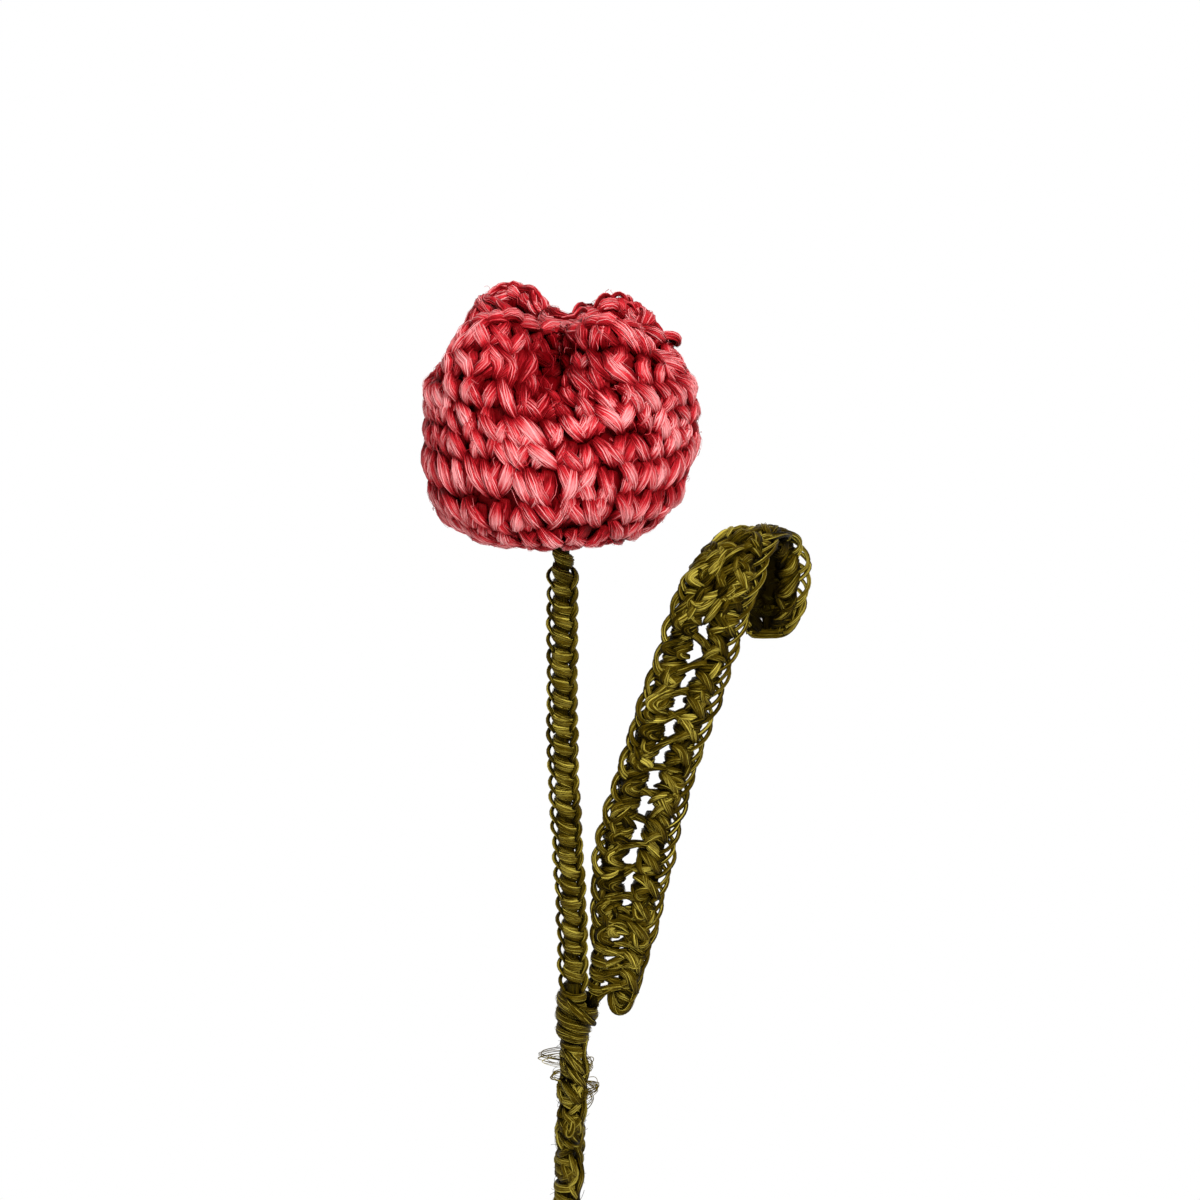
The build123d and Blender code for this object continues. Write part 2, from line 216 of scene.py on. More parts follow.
def drawn_steel():
    """Grey steel with fine lines along the wire, where it was drawn through the die, and dull patches."""
    material, start = new_material("drawn_steel")
    uv = start.node("ShaderNodeUVMap", {"uv_map": "fibre"})
    lines = start.node("ShaderNodeMapping", {}, {"Vector": uv, "Scale": DRAWN_LINES})
    line = start.node("ShaderNodeTexNoise", {}, {"Vector": lines, "Scale": 1.0, "Detail": 3.0})
    place = start.node("ShaderNodeTexCoord", {}, {}, "Object")
    patch = start.node("ShaderNodeTexNoise", {}, {"Vector": place, "Scale": PATCH_SCALE})
    bump = start.node("ShaderNodeBump", {}, {"Height": line, "Strength": 0.3, "Distance": 0.0001})
    bsdf = start.node("ShaderNodeBsdfPrincipled", {}, {
        "Base Color": STEEL, "Metallic": 1.0, "Normal": bump,
        "Roughness": STEEL_ROUGHNESS[0] + patch * STEEL_ROUGHNESS[1],
    })
    start.node("ShaderNodeOutputMaterial", {}, {"Surface": bsdf})
    return material


def hooked_wire():
    """The wire's path: up the stem's line, over a half circle and a short way down again."""
    rise = stem_line(np.linspace(0, CUP_BASE + HOOK_RISE, WIRE_POINTS))
    turn = np.linspace(0, np.pi, BEND_POINTS)[1:]
    top = rise[-1]
    bow = top + HOOK_R * np.stack([1 - np.cos(turn), 0 * turn, np.sin(turn)], axis=-1)
    tail = bow[-1] - np.array([0, 0, HOOK_RETURN])
    return np.concatenate([rise, bow, tail[None]])[None]


steel = drawn_steel()
wire_skin = strands(hooked_wire(), np.array([0.0, 1, 0]), WIRE_R, 0.5, WIRE_SIDES)
stem_wire = new_piece("stem_wire_dressed", wire_skin, steel)
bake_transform(stem_wire)
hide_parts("stem_wire")

# The lower sleeve: thick olive yarn of glossy plant fibre, wound tightly round the lower wire, with one
# strand of the same yarn laid up the right side. Each turn is a bundle of fibres that bulges between its
# neighbours.
GREEN_DEEP = (7, 3, 0)
GREEN_MIDDLE = (68, 53, 4)
GREEN_PALE = (176, 160, 66)
GREEN_GLOSS = (190, 174, 50)
STREAK_SCALE = (0.2, 5.0, 1)
STREAK_DEPTH = 1.4
MIDDLE_TONE = 0.42
RIDGE_SCALE = (0.2, 5.6, 1)
GLOSS_LEVEL = 0.14
HEART_SIDES = 8
HEART_SIZE = 0.94
HEART_TONE = -0.12
HEART_PAINTED_SHADING = 0.42
FIBRE_TONE = 0.04
FIBRE_PAINTED_SHADING = 0.5
STRAY_EVERY = 5
STRAY_SIZE = 0.34
PAINTED_HOLLOW_SHADE = 0.8
SHADE_RANGE = (-0.6, 1)
SLEEVE_FOOT = 0.6
LOWER_TOP = 175
LOWER_R = 3.1
LOWER_PITCH = 2.5
LOWER_UNEVENNESS = 1.0
LOWER_TURN = {"half_width": 1.0, "half_depth": 0.9, "count": 10, "fibre": 0.13}
TURN_POINTS = 15
WOUND_SPREAD = np.radians(190)
LOWER_CORE_R = LOWER_R - 1.2
CORE_POINTS = 60
CORE_PAINTED_SHADE = 0.05
CARRIED_TOP = LOWER_TOP - 12
CARRIED_POINTS = 150
CARRIED_OUT = LOWER_R - 0.5
CARRIED_FRONT = -1.6
CARRIED_SWELL = 0.85
CARRIED = {"half_width": 0.95, "half_depth": 0.8, "count": 10, "fibre": 0.14}
CROWDED = (116, 161)
SLANTED_BELOW = 26
SLANTED_ABOVE = 80
SLANTED_LOWEST = 14
SLANTED_DROP = (3.0, 8.0)
SLANTED_SWEEP = (0.6, 1.9)
SLANTED_BULGE = 1.1
ROPE_POINTS = 9
SLANTED = {"half_width": 0.8, "half_depth": 0.65, "count": 9, "fibre": 0.12}
FRIZZ = 110
FRIZZ_R = 0.05
FRIZZ_ROOT = LOWER_R - 0.4
FRIZZ_LENGTH = (0.5, 1.6)


def dye(red, green, blue):
    """A colour as it is seen, 0 to 255 a channel, as the light that it gives back."""
    seen = np.array([red, green, blue]) / 255
    light = np.where(seen <= 0.04045, seen / 12.92, ((seen + 0.055) / 1.055) ** 2.4)
    return (*light.tolist(), 1.0)


def dyed_fibre(name, deep, middle, pale, gloss):
    """Glossy dyed plant fibre: the shade of each strand, with streaks along it, runs from the deep colour to
    the pale one. It holds the fibre's own uneven tone, and also painted shade, deep in the hollows, and
    painted highlight, pale on the outside. Fine ridges along it break up the gloss, which has the dye's tint."""
    material, start = new_material(name)
    uv = start.node("ShaderNodeUVMap", {"uv_map": "fibre"})
    shade = start.node("ShaderNodeAttribute", {"attribute_name": "shade"}, {}, "Fac")
    long = start.node("ShaderNodeMapping", {}, {"Vector": uv, "Scale": STREAK_SCALE})
    streak = start.node("ShaderNodeTexNoise", {}, {
        "Vector": long, "Scale": 1.0, "Detail": 4.0, "Roughness": 0.65,
    })
    tone = shade + streak * STREAK_DEPTH - STREAK_DEPTH / 2
    colour = start.node("ShaderNodeValToRGB", {"stops": [
        (0.0, dye(*deep)), (MIDDLE_TONE, dye(*middle)), (1.0, dye(*pale)),
    ]}, {"Fac": tone})
    fine = start.node("ShaderNodeMapping", {}, {"Vector": uv, "Scale": RIDGE_SCALE})
    ridge = start.node("ShaderNodeTexNoise", {}, {"Vector": fine, "Scale": 1.0, "Detail": 2.0})
    bump = start.node("ShaderNodeBump", {}, {"Height": ridge, "Strength": 0.8, "Distance": 0.0003})
    bsdf = start.node("ShaderNodeBsdfPrincipled", {}, {
        "Base Color": colour, "Roughness": 0.5 - streak * 0.2, "Normal": bump,
        "Specular IOR Level": GLOSS_LEVEL, "Specular Tint": dye(*gloss),
    })
    start.node("ShaderNodeOutputMaterial", {}, {"Surface": bsdf})
    return material


def wander(place, amount, wavelength, rng, rows):
    """Smooth irregular curves, one for each row: three sines of nearby wavelengths with random phases."""
    waves = wavelength * np.array([1.0, 0.63, 1.7])
    phase = rng.uniform(0, 2 * np.pi, (rows, 1, 3))
    return amount * np.sin(2 * np.pi * place[..., None] / waves + phase).mean(axis=-1) * 1.7


def tapered(share, thin):
    """How thick a strand is along its length: thin at both ends and full between, on a flattened half
    sine."""
    return thin + (1 - thin) * np.sin(np.pi * share) ** 0.6


def bundle(core, outward, half_width, half_depth, count, fibre, rng,
           spread=np.radians(250), twist=0.7, waves=1.0, swell=1.0, tone=0.0):
    """Strands of yarn along core paths. Each has a smooth heart, an ellipse of the two half sizes, and
    over its outer side fibres that lie side by side, slowly twist and waver along it. Swell scales the
    strand along its length, and where it is thin the yarn is deep in a hollow, so it gets painted shade
    there. Painted shading also makes the heart lighter on its outer side than on its inner one, and the
    fibres lighter over the strand's middle than at its sides. For every five fibres there is a thin stray
    that stands off the others."""
    cores, steps = core.shape[:2]
    swell = np.broadcast_to(swell, (cores, steps))
    # Painted shade where the strand is thin, deep in a hollow.
    tone = np.broadcast_to(tone, (cores, steps)) - PAINTED_HOLLOW_SHADE * (1 - swell)
    side, out = strand_frame(core, outward)
    angle = 2 * np.pi * (np.arange(HEART_SIDES) + 0.5) / HEART_SIDES - np.pi / 2
    wide = half_width * np.cos(angle)[:, None] * side[:, :, None]
    ellipse = wide + half_depth * np.sin(angle)[:, None] * out[:, :, None]
    heart = core[:, :, None] + HEART_SIZE * swell[:, :, None, None] * ellipse
    # Painted shading: the heart is lighter on its outer side and darker on its inner one.
    heart_shade = tone[:, :, None] + HEART_TONE + HEART_PAINTED_SHADING * np.sin(angle)
    heart_shade = heart_shade + rng.uniform(-0.08, 0.08, (cores, 1, 1))
    strays = -(-count // STRAY_EVERY)
    even = np.linspace(-spread / 2, spread / 2, count)
    lay = even + rng.normal(0, 0.4 * spread / count, (cores, count))
    lay = np.concatenate([lay, rng.uniform(-spread / 3, spread / 3, (cores, strays))], axis=1)[:, :, None]
    share = np.linspace(-0.5, 0.5, steps)
    phase = rng.uniform(0, 2 * np.pi, lay.shape)
    waver = np.sin(2 * np.pi * waves * share * rng.uniform(0.6, 1.4, lay.shape) + phase)
    turn = lay + twist * share + 0.2 * waver
    stray = np.arange(count + strays)[:, None] >= count
    loose = rng.uniform(1.06, 1.25, lay.shape)
    close = 0.97 + rng.normal(0, 0.04, lay.shape)
    reach = np.where(stray, loose, close) * swell[:, None]
    across = (np.sin(turn) * reach * (half_width - 0.4 * fibre))[..., None] * side[:, None]
    away = (np.cos(turn) * reach * (half_depth - 0.4 * fibre))[..., None] * out[:, None]
    facing = np.sin(turn)[..., None] * side[:, None] + np.cos(turn)[..., None] * out[:, None]
    radius = fibre * np.where(stray, STRAY_SIZE, rng.uniform(0.55, 1.4, lay.shape))
    radius = radius * (0.35 + 0.65 * swell[:, None])
    # Painted shading: the fibres are lighter over the strand's middle and darker at its sides.
    shade = tone[:, None] + FIBRE_TONE + FIBRE_PAINTED_SHADING * np.cos(turn)
    shade = shade + rng.uniform(-0.22, 0.26, lay.shape) + 0.06 * waver
    fibres = cores * (count + strays)
    return joined(
        ring_stacks(heart, np.clip(heart_shade, *SHADE_RANGE)),
        strands(
            (core[:, None] + across + away).reshape(fibres, steps, 3), facing.reshape(fibres, steps, 3),
            radius.reshape(fibres, steps), np.clip(shade, *SHADE_RANGE).reshape(fibres, steps),
        ),
    )


def round_stem(height, angle, reach):
    """A place at an angle round the stem and a distance from its middle, and the direction out from
    there."""
    spoke = np.stack([np.cos(angle), np.sin(angle), 0 * angle], axis=-1)
    return stem_line(height) + reach[..., None] * spoke, spoke


def wound_turns(foot, top, outer_r, rng, pitch, unevenness, sizes):
    """Yarn wound round the stem: one strand on a helix that goes down to the right at the front, whose
    pitch and distance from the wire waver from turn to turn."""
    turns = (top - foot) / pitch - 1
    turn = np.linspace(0, turns, int(turns * TURN_POINTS))[None]
    height = foot + pitch * (turn + 0.5) + wander(turn, unevenness, 2.3, rng, 1)
    reach = outer_r - sizes["half_depth"] + wander(turn, 0.14, 1.7, rng, 1)
    paths, out = round_stem(height, -2 * np.pi * turn, reach)
    tone = 0.1 + wander(turn, 0.09, 1.3, rng, 1)
    return bundle(paths, out, rng=rng, spread=WOUND_SPREAD, twist=0.0, waves=1.3 * turns, tone=tone, **sizes)


def carried_strand(rng):
    """The strand up the right side of the lower sleeve: a line along the stem, a little in front of its
    side, that wavers in and out of the turns."""
    height = np.linspace(SLEEVE_FOOT + 1, CARRIED_TOP, CARRIED_POINTS)[None]
    side = CARRIED_OUT + wander(height, 0.35, 13, rng, 1)
    front = CARRIED_FRONT + wander(height, 0.5, 17, rng, 1)
    paths = stem_line(height) + np.stack([side, front, 0 * height], axis=-1)
    swell = CARRIED_SWELL + wander(height, 0.15, 9, rng, 1)
    return bundle(paths, np.array([0.8, -0.6, 0]), rng=rng, twist=14.0, waves=12, swell=swell, **CARRIED)


def slanted_strands(rng):
    """Short ends of yarn over the turns, at all slants and most of them under the binding: each goes
    part of the way round the stem as it comes down, and comes out from under the turns and back."""
    share = np.linspace(0, 1, ROPE_POINTS)
    below = rng.uniform(SLANTED_LOWEST, CROWDED[0], (SLANTED_BELOW, 1))
    above = rng.uniform(*CROWDED, (SLANTED_ABOVE, 1))
    top = np.concatenate([below, above])
    sweep = np.where(rng.uniform(0, 1, top.shape) < 0.6, 1.0, -1.0)
    sweep = sweep * rng.uniform(*SLANTED_SWEEP, top.shape)
    angle = rng.uniform(0, 2 * np.pi, top.shape) + sweep * share
    height = top - rng.uniform(*SLANTED_DROP, top.shape) * share
    reach = LOWER_CORE_R + SLANTED_BULGE * np.sin(np.pi * share) * rng.uniform(0.8, 1.15, top.shape)
    paths, out = round_stem(height, angle, reach)
    tone = rng.normal(0.14, 0.16, top.shape)
    return bundle(paths, out, rng=rng, twist=2.0, swell=tapered(share, 0.5), tone=tone, **SLANTED)


def stem_frizz(rng):
    """Short single fibres that stick out all round the crowded stretch, each bent its own way."""
    share = np.linspace(0, 1, 7)
    start = rng.uniform(*CROWDED, (FRIZZ, 1))
    angle = rng.uniform(0, 2 * np.pi, start.shape) + rng.normal(0, 0.5, start.shape) * share
    height = start + rng.normal(0, 1.6, start.shape) * share + rng.normal(0, 0.5, start.shape) * share ** 2
    reach = FRIZZ_ROOT + rng.uniform(*FRIZZ_LENGTH, start.shape) * share ** 0.7
    paths = round_stem(height, angle, reach)[0]
    return strands(paths, np.array([0.0, 0.3, 1]), FRIZZ_R, rng.uniform(-0.1, 0.5, start.shape))


def dark_core(foot, top, radius):
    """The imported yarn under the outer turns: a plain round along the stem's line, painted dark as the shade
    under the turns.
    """
    path = stem_line(np.linspace(foot, top, CORE_POINTS))[None]
    return strands(path, np.array([0.0, 1, 0]), radius, CORE_PAINTED_SHADE, WIRE_SIDES)


green = dyed_fibre("green_fibre", GREEN_DEEP, GREEN_MIDDLE, GREEN_PALE, GREEN_GLOSS)
rng = np.random.default_rng(11)
lower_sleeve = new_piece(
    "lower_stem_yarn",
    joined(
        wound_turns(SLEEVE_FOOT, LOWER_TOP, LOWER_R, rng, LOWER_PITCH, LOWER_UNEVENNESS, LOWER_TURN),
        dark_core(SLEEVE_FOOT, LOWER_TOP, LOWER_CORE_R),
    ),
    green,
)
loose_yarn = joined(slanted_strands(rng), carried_strand(rng), stem_frizz(rng))
slants = new_piece("lower_stem_slants", loose_yarn, green)
for piece in (lower_sleeve, slants):
    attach(piece, "stem")
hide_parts("lower_stem_sleeve")

# The upper sleeve: the same yarn wound round the upper wire, with a crocheted chain along each side. The
# right chain is of slanted strands, the left one of thin loops, and small gaps show between them and the
# turns.
TURN_PITCH = 3.6
TURN_UNEVENNESS = 0.5
TURN = {"half_width": 1.56, "half_depth": 1.2, "count": 15, "fibre": 0.14}
UPPER_FOOT = 173.6
UPPER_TOP = CUP_BASE + 1.5
UPPER_R = 2.5
UPPER_CORE_R = UPPER_R - 1.0
CHAIN_POINTS = 9
CHAIN_IN = 1.7
CHAIN_FRONT = -1.5
CHAIN_DEPTH = 2.6
LINK_FOOT = -0.15
LINK_LENGTH = 1.3
CHAIN_TOP = CUP_BASE - 4.5
RIGHT_OUT = 2.85
LEFT_OUT = 3.2
RIGHT_CHAIN = {"half_width": 0.95, "half_depth": 0.7, "count": 10, "fibre": 0.14}
LEFT_CHAIN = {"half_width": 0.5, "half_depth": 0.45, "count": 6, "fibre": 0.13}


def side_chain(edge, inner, outer, rng, sizes):
    """Links of the chain up one side: each goes out from the turns at the front, round the edge and back
    in behind the next, one to each turn of yarn."""
    count = int((CHAIN_TOP - UPPER_FOOT) / TURN_PITCH)
    share = np.linspace(0, 1, CHAIN_POINTS)
    start = UPPER_FOOT + TURN_PITCH * np.arange(count)[:, None] + rng.normal(0, 0.2, (count, 1))
    height = start + TURN_PITCH * (LINK_FOOT + LINK_LENGTH * share)
    out = inner + (outer - inner) * np.sin(np.pi * share ** 1.2) * rng.uniform(0.85, 1.08, (count, 1))
    front = CHAIN_FRONT + CHAIN_DEPTH * share + 0 * start
    paths = stem_line(height) + np.stack([edge * out, front, 0 * height], axis=-1)
    outward = np.array([edge * 1.0, -0.5, 0])
    return bundle(paths, outward, rng=rng, swell=tapered(share, 0.5), **sizes)


rng = np.random.default_rng(12)
upper_sleeve = new_piece(
    "upper_stem_yarn",
    joined(
        wound_turns(UPPER_FOOT, UPPER_TOP, UPPER_R, rng, TURN_PITCH, TURN_UNEVENNESS, TURN),
        dark_core(UPPER_FOOT, UPPER_TOP, UPPER_CORE_R),
        side_chain(1, CHAIN_IN, RIGHT_OUT, rng, RIGHT_CHAIN),
        side_chain(-1, CHAIN_IN, LEFT_OUT, rng, LEFT_CHAIN),
    ),
    green,
)
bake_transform(upper_sleeve)
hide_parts("upper_stem_sleeve")

# The leaf's wire: a hairpin of thin steel wire inside the leaf's two bands, whose tail lies under the
# binding. It holds the leaf's curl, and it bends where it leaves the binding.
LEAF_WIRE_R = 0.6
LEAF_FOOT = np.array([11.6, 3.0, 173.2])
LEAF_RISE = 93.5
LEAF_CURL_R = 9
LEAF_DROP = 16
LEAF_LENGTH = LEAF_RISE + np.pi * LEAF_CURL_R + LEAF_DROP
LEAF_LEAN = (0.10, 0.323)
LEAF_TIP_LEAN = -0.1
LEAF_CURL_SHIFT = 3.2
LEAF_BEND_AT = 36
LEAF_BEND_SOFTNESS = 8
LEAF_FOOT_SCALE = 0.55
LEAF_TAPER = 34
LEAF_TIP_ROUNDING = 10
LEAF_TIP_SCALE = 0.75
LEAF_HALF = 9
CREST_DROOP = 5.0
TIP_NARROWING = 0.5
BAND_OUT = 4.5
CORD_FOOT = np.array([6.0, 0.6, 165.5])
CORD_TOP = 18
HAIRPIN_END = 8
HAIRPIN_BOW = 3
BAND_POINTS = (80, 90)
CORD_POINTS = 14


def leaf_scale(along):
    """The leaf's width as a share of its full one: it grows from the foot on a quarter sine, and rounds
    off in the last stretch before the tip."""
    grown = np.sin(np.pi / 2 * np.clip(along / LEAF_TAPER, 0, 1))
    past = np.clip((along - LEAF_LENGTH + LEAF_TIP_ROUNDING) / LEAF_TIP_ROUNDING, 0, 1)
    return (LEAF_FOOT_SCALE + (1 - LEAF_FOOT_SCALE) * grown) * (1 - (1 - LEAF_TIP_SCALE) * past ** 2)


def leaf_sheet(across, along, off):
    """A point of the leaf: it leans out in two straight stretches with a soft bend between, rises, goes
    over the curl's half circle and hangs down behind. Across is scaled by the leaf's width there, off
    stands out from its face, the curl's left edge droops, and the hanging tip narrows on its left."""
    rising = np.minimum(along, LEAF_RISE + np.pi * LEAF_CURL_R)
    past = rising - LEAF_BEND_AT
    middle = LEAF_LEAN[0] * rising + LEAF_TIP_LEAN * (along - rising)
    middle = middle + (LEAF_LEAN[1] - LEAF_LEAN[0]) * (past + np.hypot(past, LEAF_BEND_SOFTNESS)) / 2
    turn = np.clip((along - LEAF_RISE) / LEAF_CURL_R, 0, np.pi)
    middle = middle + LEAF_CURL_SHIFT * np.sin(turn / 2) ** 2
    hanging = np.maximum(along - LEAF_RISE - np.pi * LEAF_CURL_R, 0)
    kept = np.where(across < 0, 1 - TIP_NARROWING * hanging / LEAF_DROP, 1)
    x = middle + across * leaf_scale(along) * kept
    y = LEAF_CURL_R * (1 - np.cos(turn)) - off * np.cos(turn)
    z = np.minimum(along, LEAF_RISE) + LEAF_CURL_R * np.sin(turn) - hanging + off * np.sin(turn)
    z = z - CREST_DROOP * np.clip(-across / LEAF_HALF, 0, 1) ** 2 * np.sin(turn)
    return LEAF_FOOT + np.stack(np.broadcast_arrays(x, y, z), axis=-1)


def leaf_outward(along):
    """The direction out of the leaf's face."""
    turn = np.clip((along - LEAF_RISE) / LEAF_CURL_R, 0, np.pi)
    return np.stack(np.broadcast_arrays(0 * turn, -np.cos(turn), np.sin(turn)), axis=-1)


def left_cord(steps):
    """The lower end of the left band, which narrows to a cord: from the binding it rises beside the
    stem, and bends over to where the band begins."""
    share = np.linspace(0, 1, steps)[:, None]
    top = leaf_sheet(np.array(-BAND_OUT), np.array(CORD_TOP), np.array(0))
    bend = np.concatenate([share ** 1.5, np.sin(np.pi / 2 * share), share], axis=1)
    return CORD_FOOT + (top - CORD_FOOT) * bend


def hairpin():
    """Out of the binding, up the left band, round the tip and down the right band."""
    up = np.linspace(CORD_TOP + 2, LEAF_LENGTH - HAIRPIN_END, BAND_POINTS[0])
    down = np.linspace(LEAF_LENGTH - HAIRPIN_END, 1, BAND_POINTS[1])
    bow = np.linspace(np.pi, 0, BEND_POINTS)[1:-1]
    across = np.concatenate([0 * up - BAND_OUT, BAND_OUT * np.cos(bow), 0 * down + BAND_OUT])
    along = np.concatenate([up, up[-1] + HAIRPIN_BOW * np.sin(bow), down])
    path = np.concatenate([left_cord(CORD_POINTS), leaf_sheet(across, along, 0 * along)])
    facing = np.concatenate([np.tile([0.0, -1, 0], (CORD_POINTS, 1)), leaf_outward(along)])
    return path[None], facing[None]


wire_path, wire_out = hairpin()
wire_skin = strands(wire_path, wire_out, LEAF_WIRE_R, 0.5, WIRE_SIDES)
leaf_wire = new_piece("leaf_wire_dressed", wire_skin, steel)
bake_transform(leaf_wire)
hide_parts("leaf_wire")

# The leaf: two bands of olive yarn crocheted over the wire, joined by short rungs that leave a ladder of
# gaps between them, with a thin scalloped edge of open loops. The left band runs down into the binding.
LEAF_PITCH = 5.95
LEAF_FIRST = 18.4
LEAF_STITCHES = 20
LADDER_GAPS = 11.5
BAND_CORE = ((-1.5, 0.75), (0.0, 0.95), (1.5, 0.75))
BAND_CORE_END = 5
BAND_CORE_POINTS = 70
BAND_CORE_PAINTED_SHADE = -0.3
WRAP_HALF = 2.4
WRAP_DEPTH = 0.9
WRAP_POINTS = 14
WRAP_SPREAD = np.radians(200)
WRAP = {"half_width": 1.3, "half_depth": 0.85, "count": 11, "fibre": 0.13}
CROOK_ROOT = -1.7
CROOK_REACH = 5.1
CROOK_START = 2.9
CROOK_DROP = 5.0
CROOK_OFF = 0.9
CROOKS = ((1, 1.0, 0.9), (1, 0.6, 0.7), (-1, 1.0, 0.9))
CROOK = {"half_width": 1.0, "half_depth": 0.85, "count": 10, "fibre": 0.13}
CROSS_REACH = 5.4
CROSS_MIDDLE = 0.55
CROSS_OFF = 0.8
CROSSES = ((1, 2.9, -2.4, 1.1), (1, -1.9, 1.0, 0.6), (-1, 2.9, -2.4, 1.0))
CROSS = {"half_width": 1.15, "half_depth": 0.9, "count": 11, "fibre": 0.13}
RUNG_HALF = 3.0
RUNG_BOW = 0.5
RUNGS_END = 5.5
RUNG = {"half_width": 0.8, "half_depth": 0.75, "count": 9, "fibre": 0.13}
LOOPS_ROOT = BAND_OUT + 1.4
LOOPS_TURN = 0.55
LOOPS_END = 0.6
LOOPS_FRONT = 1.0
LOOPS_DEPTH = 1.8
LEFT_LOOP = {"half_width": 0.6, "half_depth": 0.55, "count": 7, "fibre": 0.14}
RIGHT_LOOP = {"half_width": 0.45, "half_depth": 0.42, "count": 5, "fibre": 0.13}
EDGE_ROWS = (
    (-1, 2, LEFT_LOOP, 1.35, 0.3), (-1, 2.3, RIGHT_LOOP, 1.1, 0.0),
    (1, 3, RIGHT_LOOP, 1.5, 0.7), (1, 2.6, RIGHT_LOOP, 1.25, 0.3),
)
CREST = 85.5
CURL_SHADE = 0.9
CURL_SHADE_RUN = 6
CURL_LIGHT_RUN = 5
CREST_ROPES = 76
CREST_HALF = 7.6
CREST_MIDDLE = (-6.0, 6.0)
CREST_ALONG = (CREST + 1, LEAF_RISE + 0.8 * np.pi * LEAF_CURL_R)
CREST_LIFT = (0.9, 2.0)
ARC_LENGTH = (4.0, 8.0)
CREST_ROPE = {"half_width": 0.95, "half_depth": 0.85, "count": 10, "fibre": 0.12}
WEB_GRID = (32, 9)
WEB_HALF = 6.4
WEB_DEPTH = 0.35
WEB_ALONG = (CREST + 1, LEAF_LENGTH - 4)
WEB_PAINTED_SHADE = -0.5
WILD_STRANDS = 132
WILD_LIMITS = (-6.6, 6.8)
WILD_ALONG = (6, LEAF_LENGTH - 4)
WILD_MIDDLE = (3.0, 6.0)
WILD_LIFT = (1.2, 2.0)
WILD = {"half_width": 0.75, "half_depth": 0.68, "count": 8, "fibre": 0.12}
TIP_PAINTED_LIGHT = 0.2
TIP_BOWS_AT = LEAF_LENGTH - 7.5
TIP_BOWS = ((8.4, 7.8), (7.2, 6.7))
TIP_UPRIGHTS_AT = LEAF_LENGTH - 7
TIP_UPRIGHT = 6.6
TIP_UPRIGHTS = (-7.4, -6.4, -5.2, 0.6, 2.2, 4.0, 5.8)
CORD_STEPS = 26
CORD = {"half_width": 1.2, "half_depth": 1.2, "count": 12, "fibre": 0.14}
CORD_TURNS = 8
CORD_TURN_REACH = 1.3
CORD_TURN_POINTS = 12
CORD_TURN = {"half_width": 1.2, "half_depth": 0.7, "count": 10, "fibre": 0.13}
FREE_END = np.array([[-0.4, 0.9, 0.6], [-2.8, 0.65, 1.6]])
FREE_MIDDLE = 1.9
FREE_TOP = 1.0
FREE_LOOPS = ((4.6, 7.7, 0.0), (3.3, 6.2, 1.0), (1.8, 4.6, 2.0))
FREE_LOOP = {"half_width": 0.85, "half_depth": 0.75, "count": 9, "fibre": 0.13}
FOOT_FRONT = np.array([0.0, -1, 0.2])
BRIDGES = 15
BRIDGE_STARTS = (0.14, 0.95)
BRIDGE_ENDS = (1.0, 5.0)
BRIDGE_BOW = 0.8


def leaf_steps(rng, below, above, every=1.0):
    """Places along the leaf: a stitch at each gap of the ladder, and so many of them below the first gap
    and above it, each a little out of step."""
    number = np.arange(-below, above, every)
    return (LEAF_FIRST + LEAF_PITCH * number + rng.normal(0, 0.28, len(number)))[:, None]


def on_leaf(across, along, off, face, rng, sizes, **lie):
    """Strands on the leaf's sheet that face out of its front, where face is 1, or out of its back, where
    it is -1."""
    outward = np.asarray(face)[..., None] * leaf_outward(along)
    return bundle(leaf_sheet(across, along, off), outward, rng=rng, **lie, **sizes)


def curl_tone(across, along, face):
    """The inside of the curl is in its own shade: the yarn there is deep in tone past the start of the
    curl, and less so towards its right edge, which is open to the light."""
    inside = face < 0
    deep = np.clip((along - CREST) / CURL_SHADE_RUN, 0, 1) * np.clip(1 - across / CURL_LIGHT_RUN, 0.1, 1)
    return -CURL_SHADE * inside * deep


def kept_width(edge, along):
    """How much wider the strands lie than the leaf's taper leaves them: the right band keeps its width
    to its free end, and the left band narrows to a cord."""
    return leaf_scale(along) ** -0.6 if edge > 0 else 1.0


def band_wraps(edge, middle, rng, size=1.0, inwards=0.5):
    """Bundles wrapped round one band: each is a flattened ring round the band's wire, tilted so that it
    rises towards the leaf's middle."""
    round_ = np.linspace(-0.2, 2 * np.pi, WRAP_POINTS)
    tilt = rng.normal(0.9, 1.1, middle.shape)
    reach = size * rng.uniform(0.85, 1.08, middle.shape)
    wide = WRAP_HALF * kept_width(edge, middle) * reach
    across = edge * (BAND_OUT - inwards + wide * np.cos(round_))
    off = WRAP_DEPTH * reach * np.sin(round_)
    along = middle - tilt * np.cos(round_)
    paths = leaf_sheet(across, along, off)
    outward = paths - leaf_sheet(edge * (BAND_OUT - inwards), along, 0 * off)
    # Painted shading: each wrap is darker where it turns round the band's edges than over the leaf's front
    # and back, besides the curl's painted shade.
    tone = curl_tone(across, along, off) - 0.4 + 0.42 * np.sin(round_) ** 2
    tone = tone + rng.normal(0, 0.14, middle.shape)
    return bundle(paths, outward, rng=rng, spread=WRAP_SPREAD, twist=1.5, tone=tone, **WRAP)


def band_core(edge, foot):
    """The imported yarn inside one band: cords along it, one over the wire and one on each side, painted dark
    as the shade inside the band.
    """
    along = np.linspace(foot, LEAF_LENGTH - BAND_CORE_END, BAND_CORE_POINTS)[None]
    beside, radius = np.array(BAND_CORE).T[:, :, None]
    across = edge * BAND_OUT + beside
    paths = leaf_sheet(across, along, 0)
    return strands(paths, leaf_outward(along), radius, BAND_CORE_PAINTED_SHADE, WIRE_SIDES)


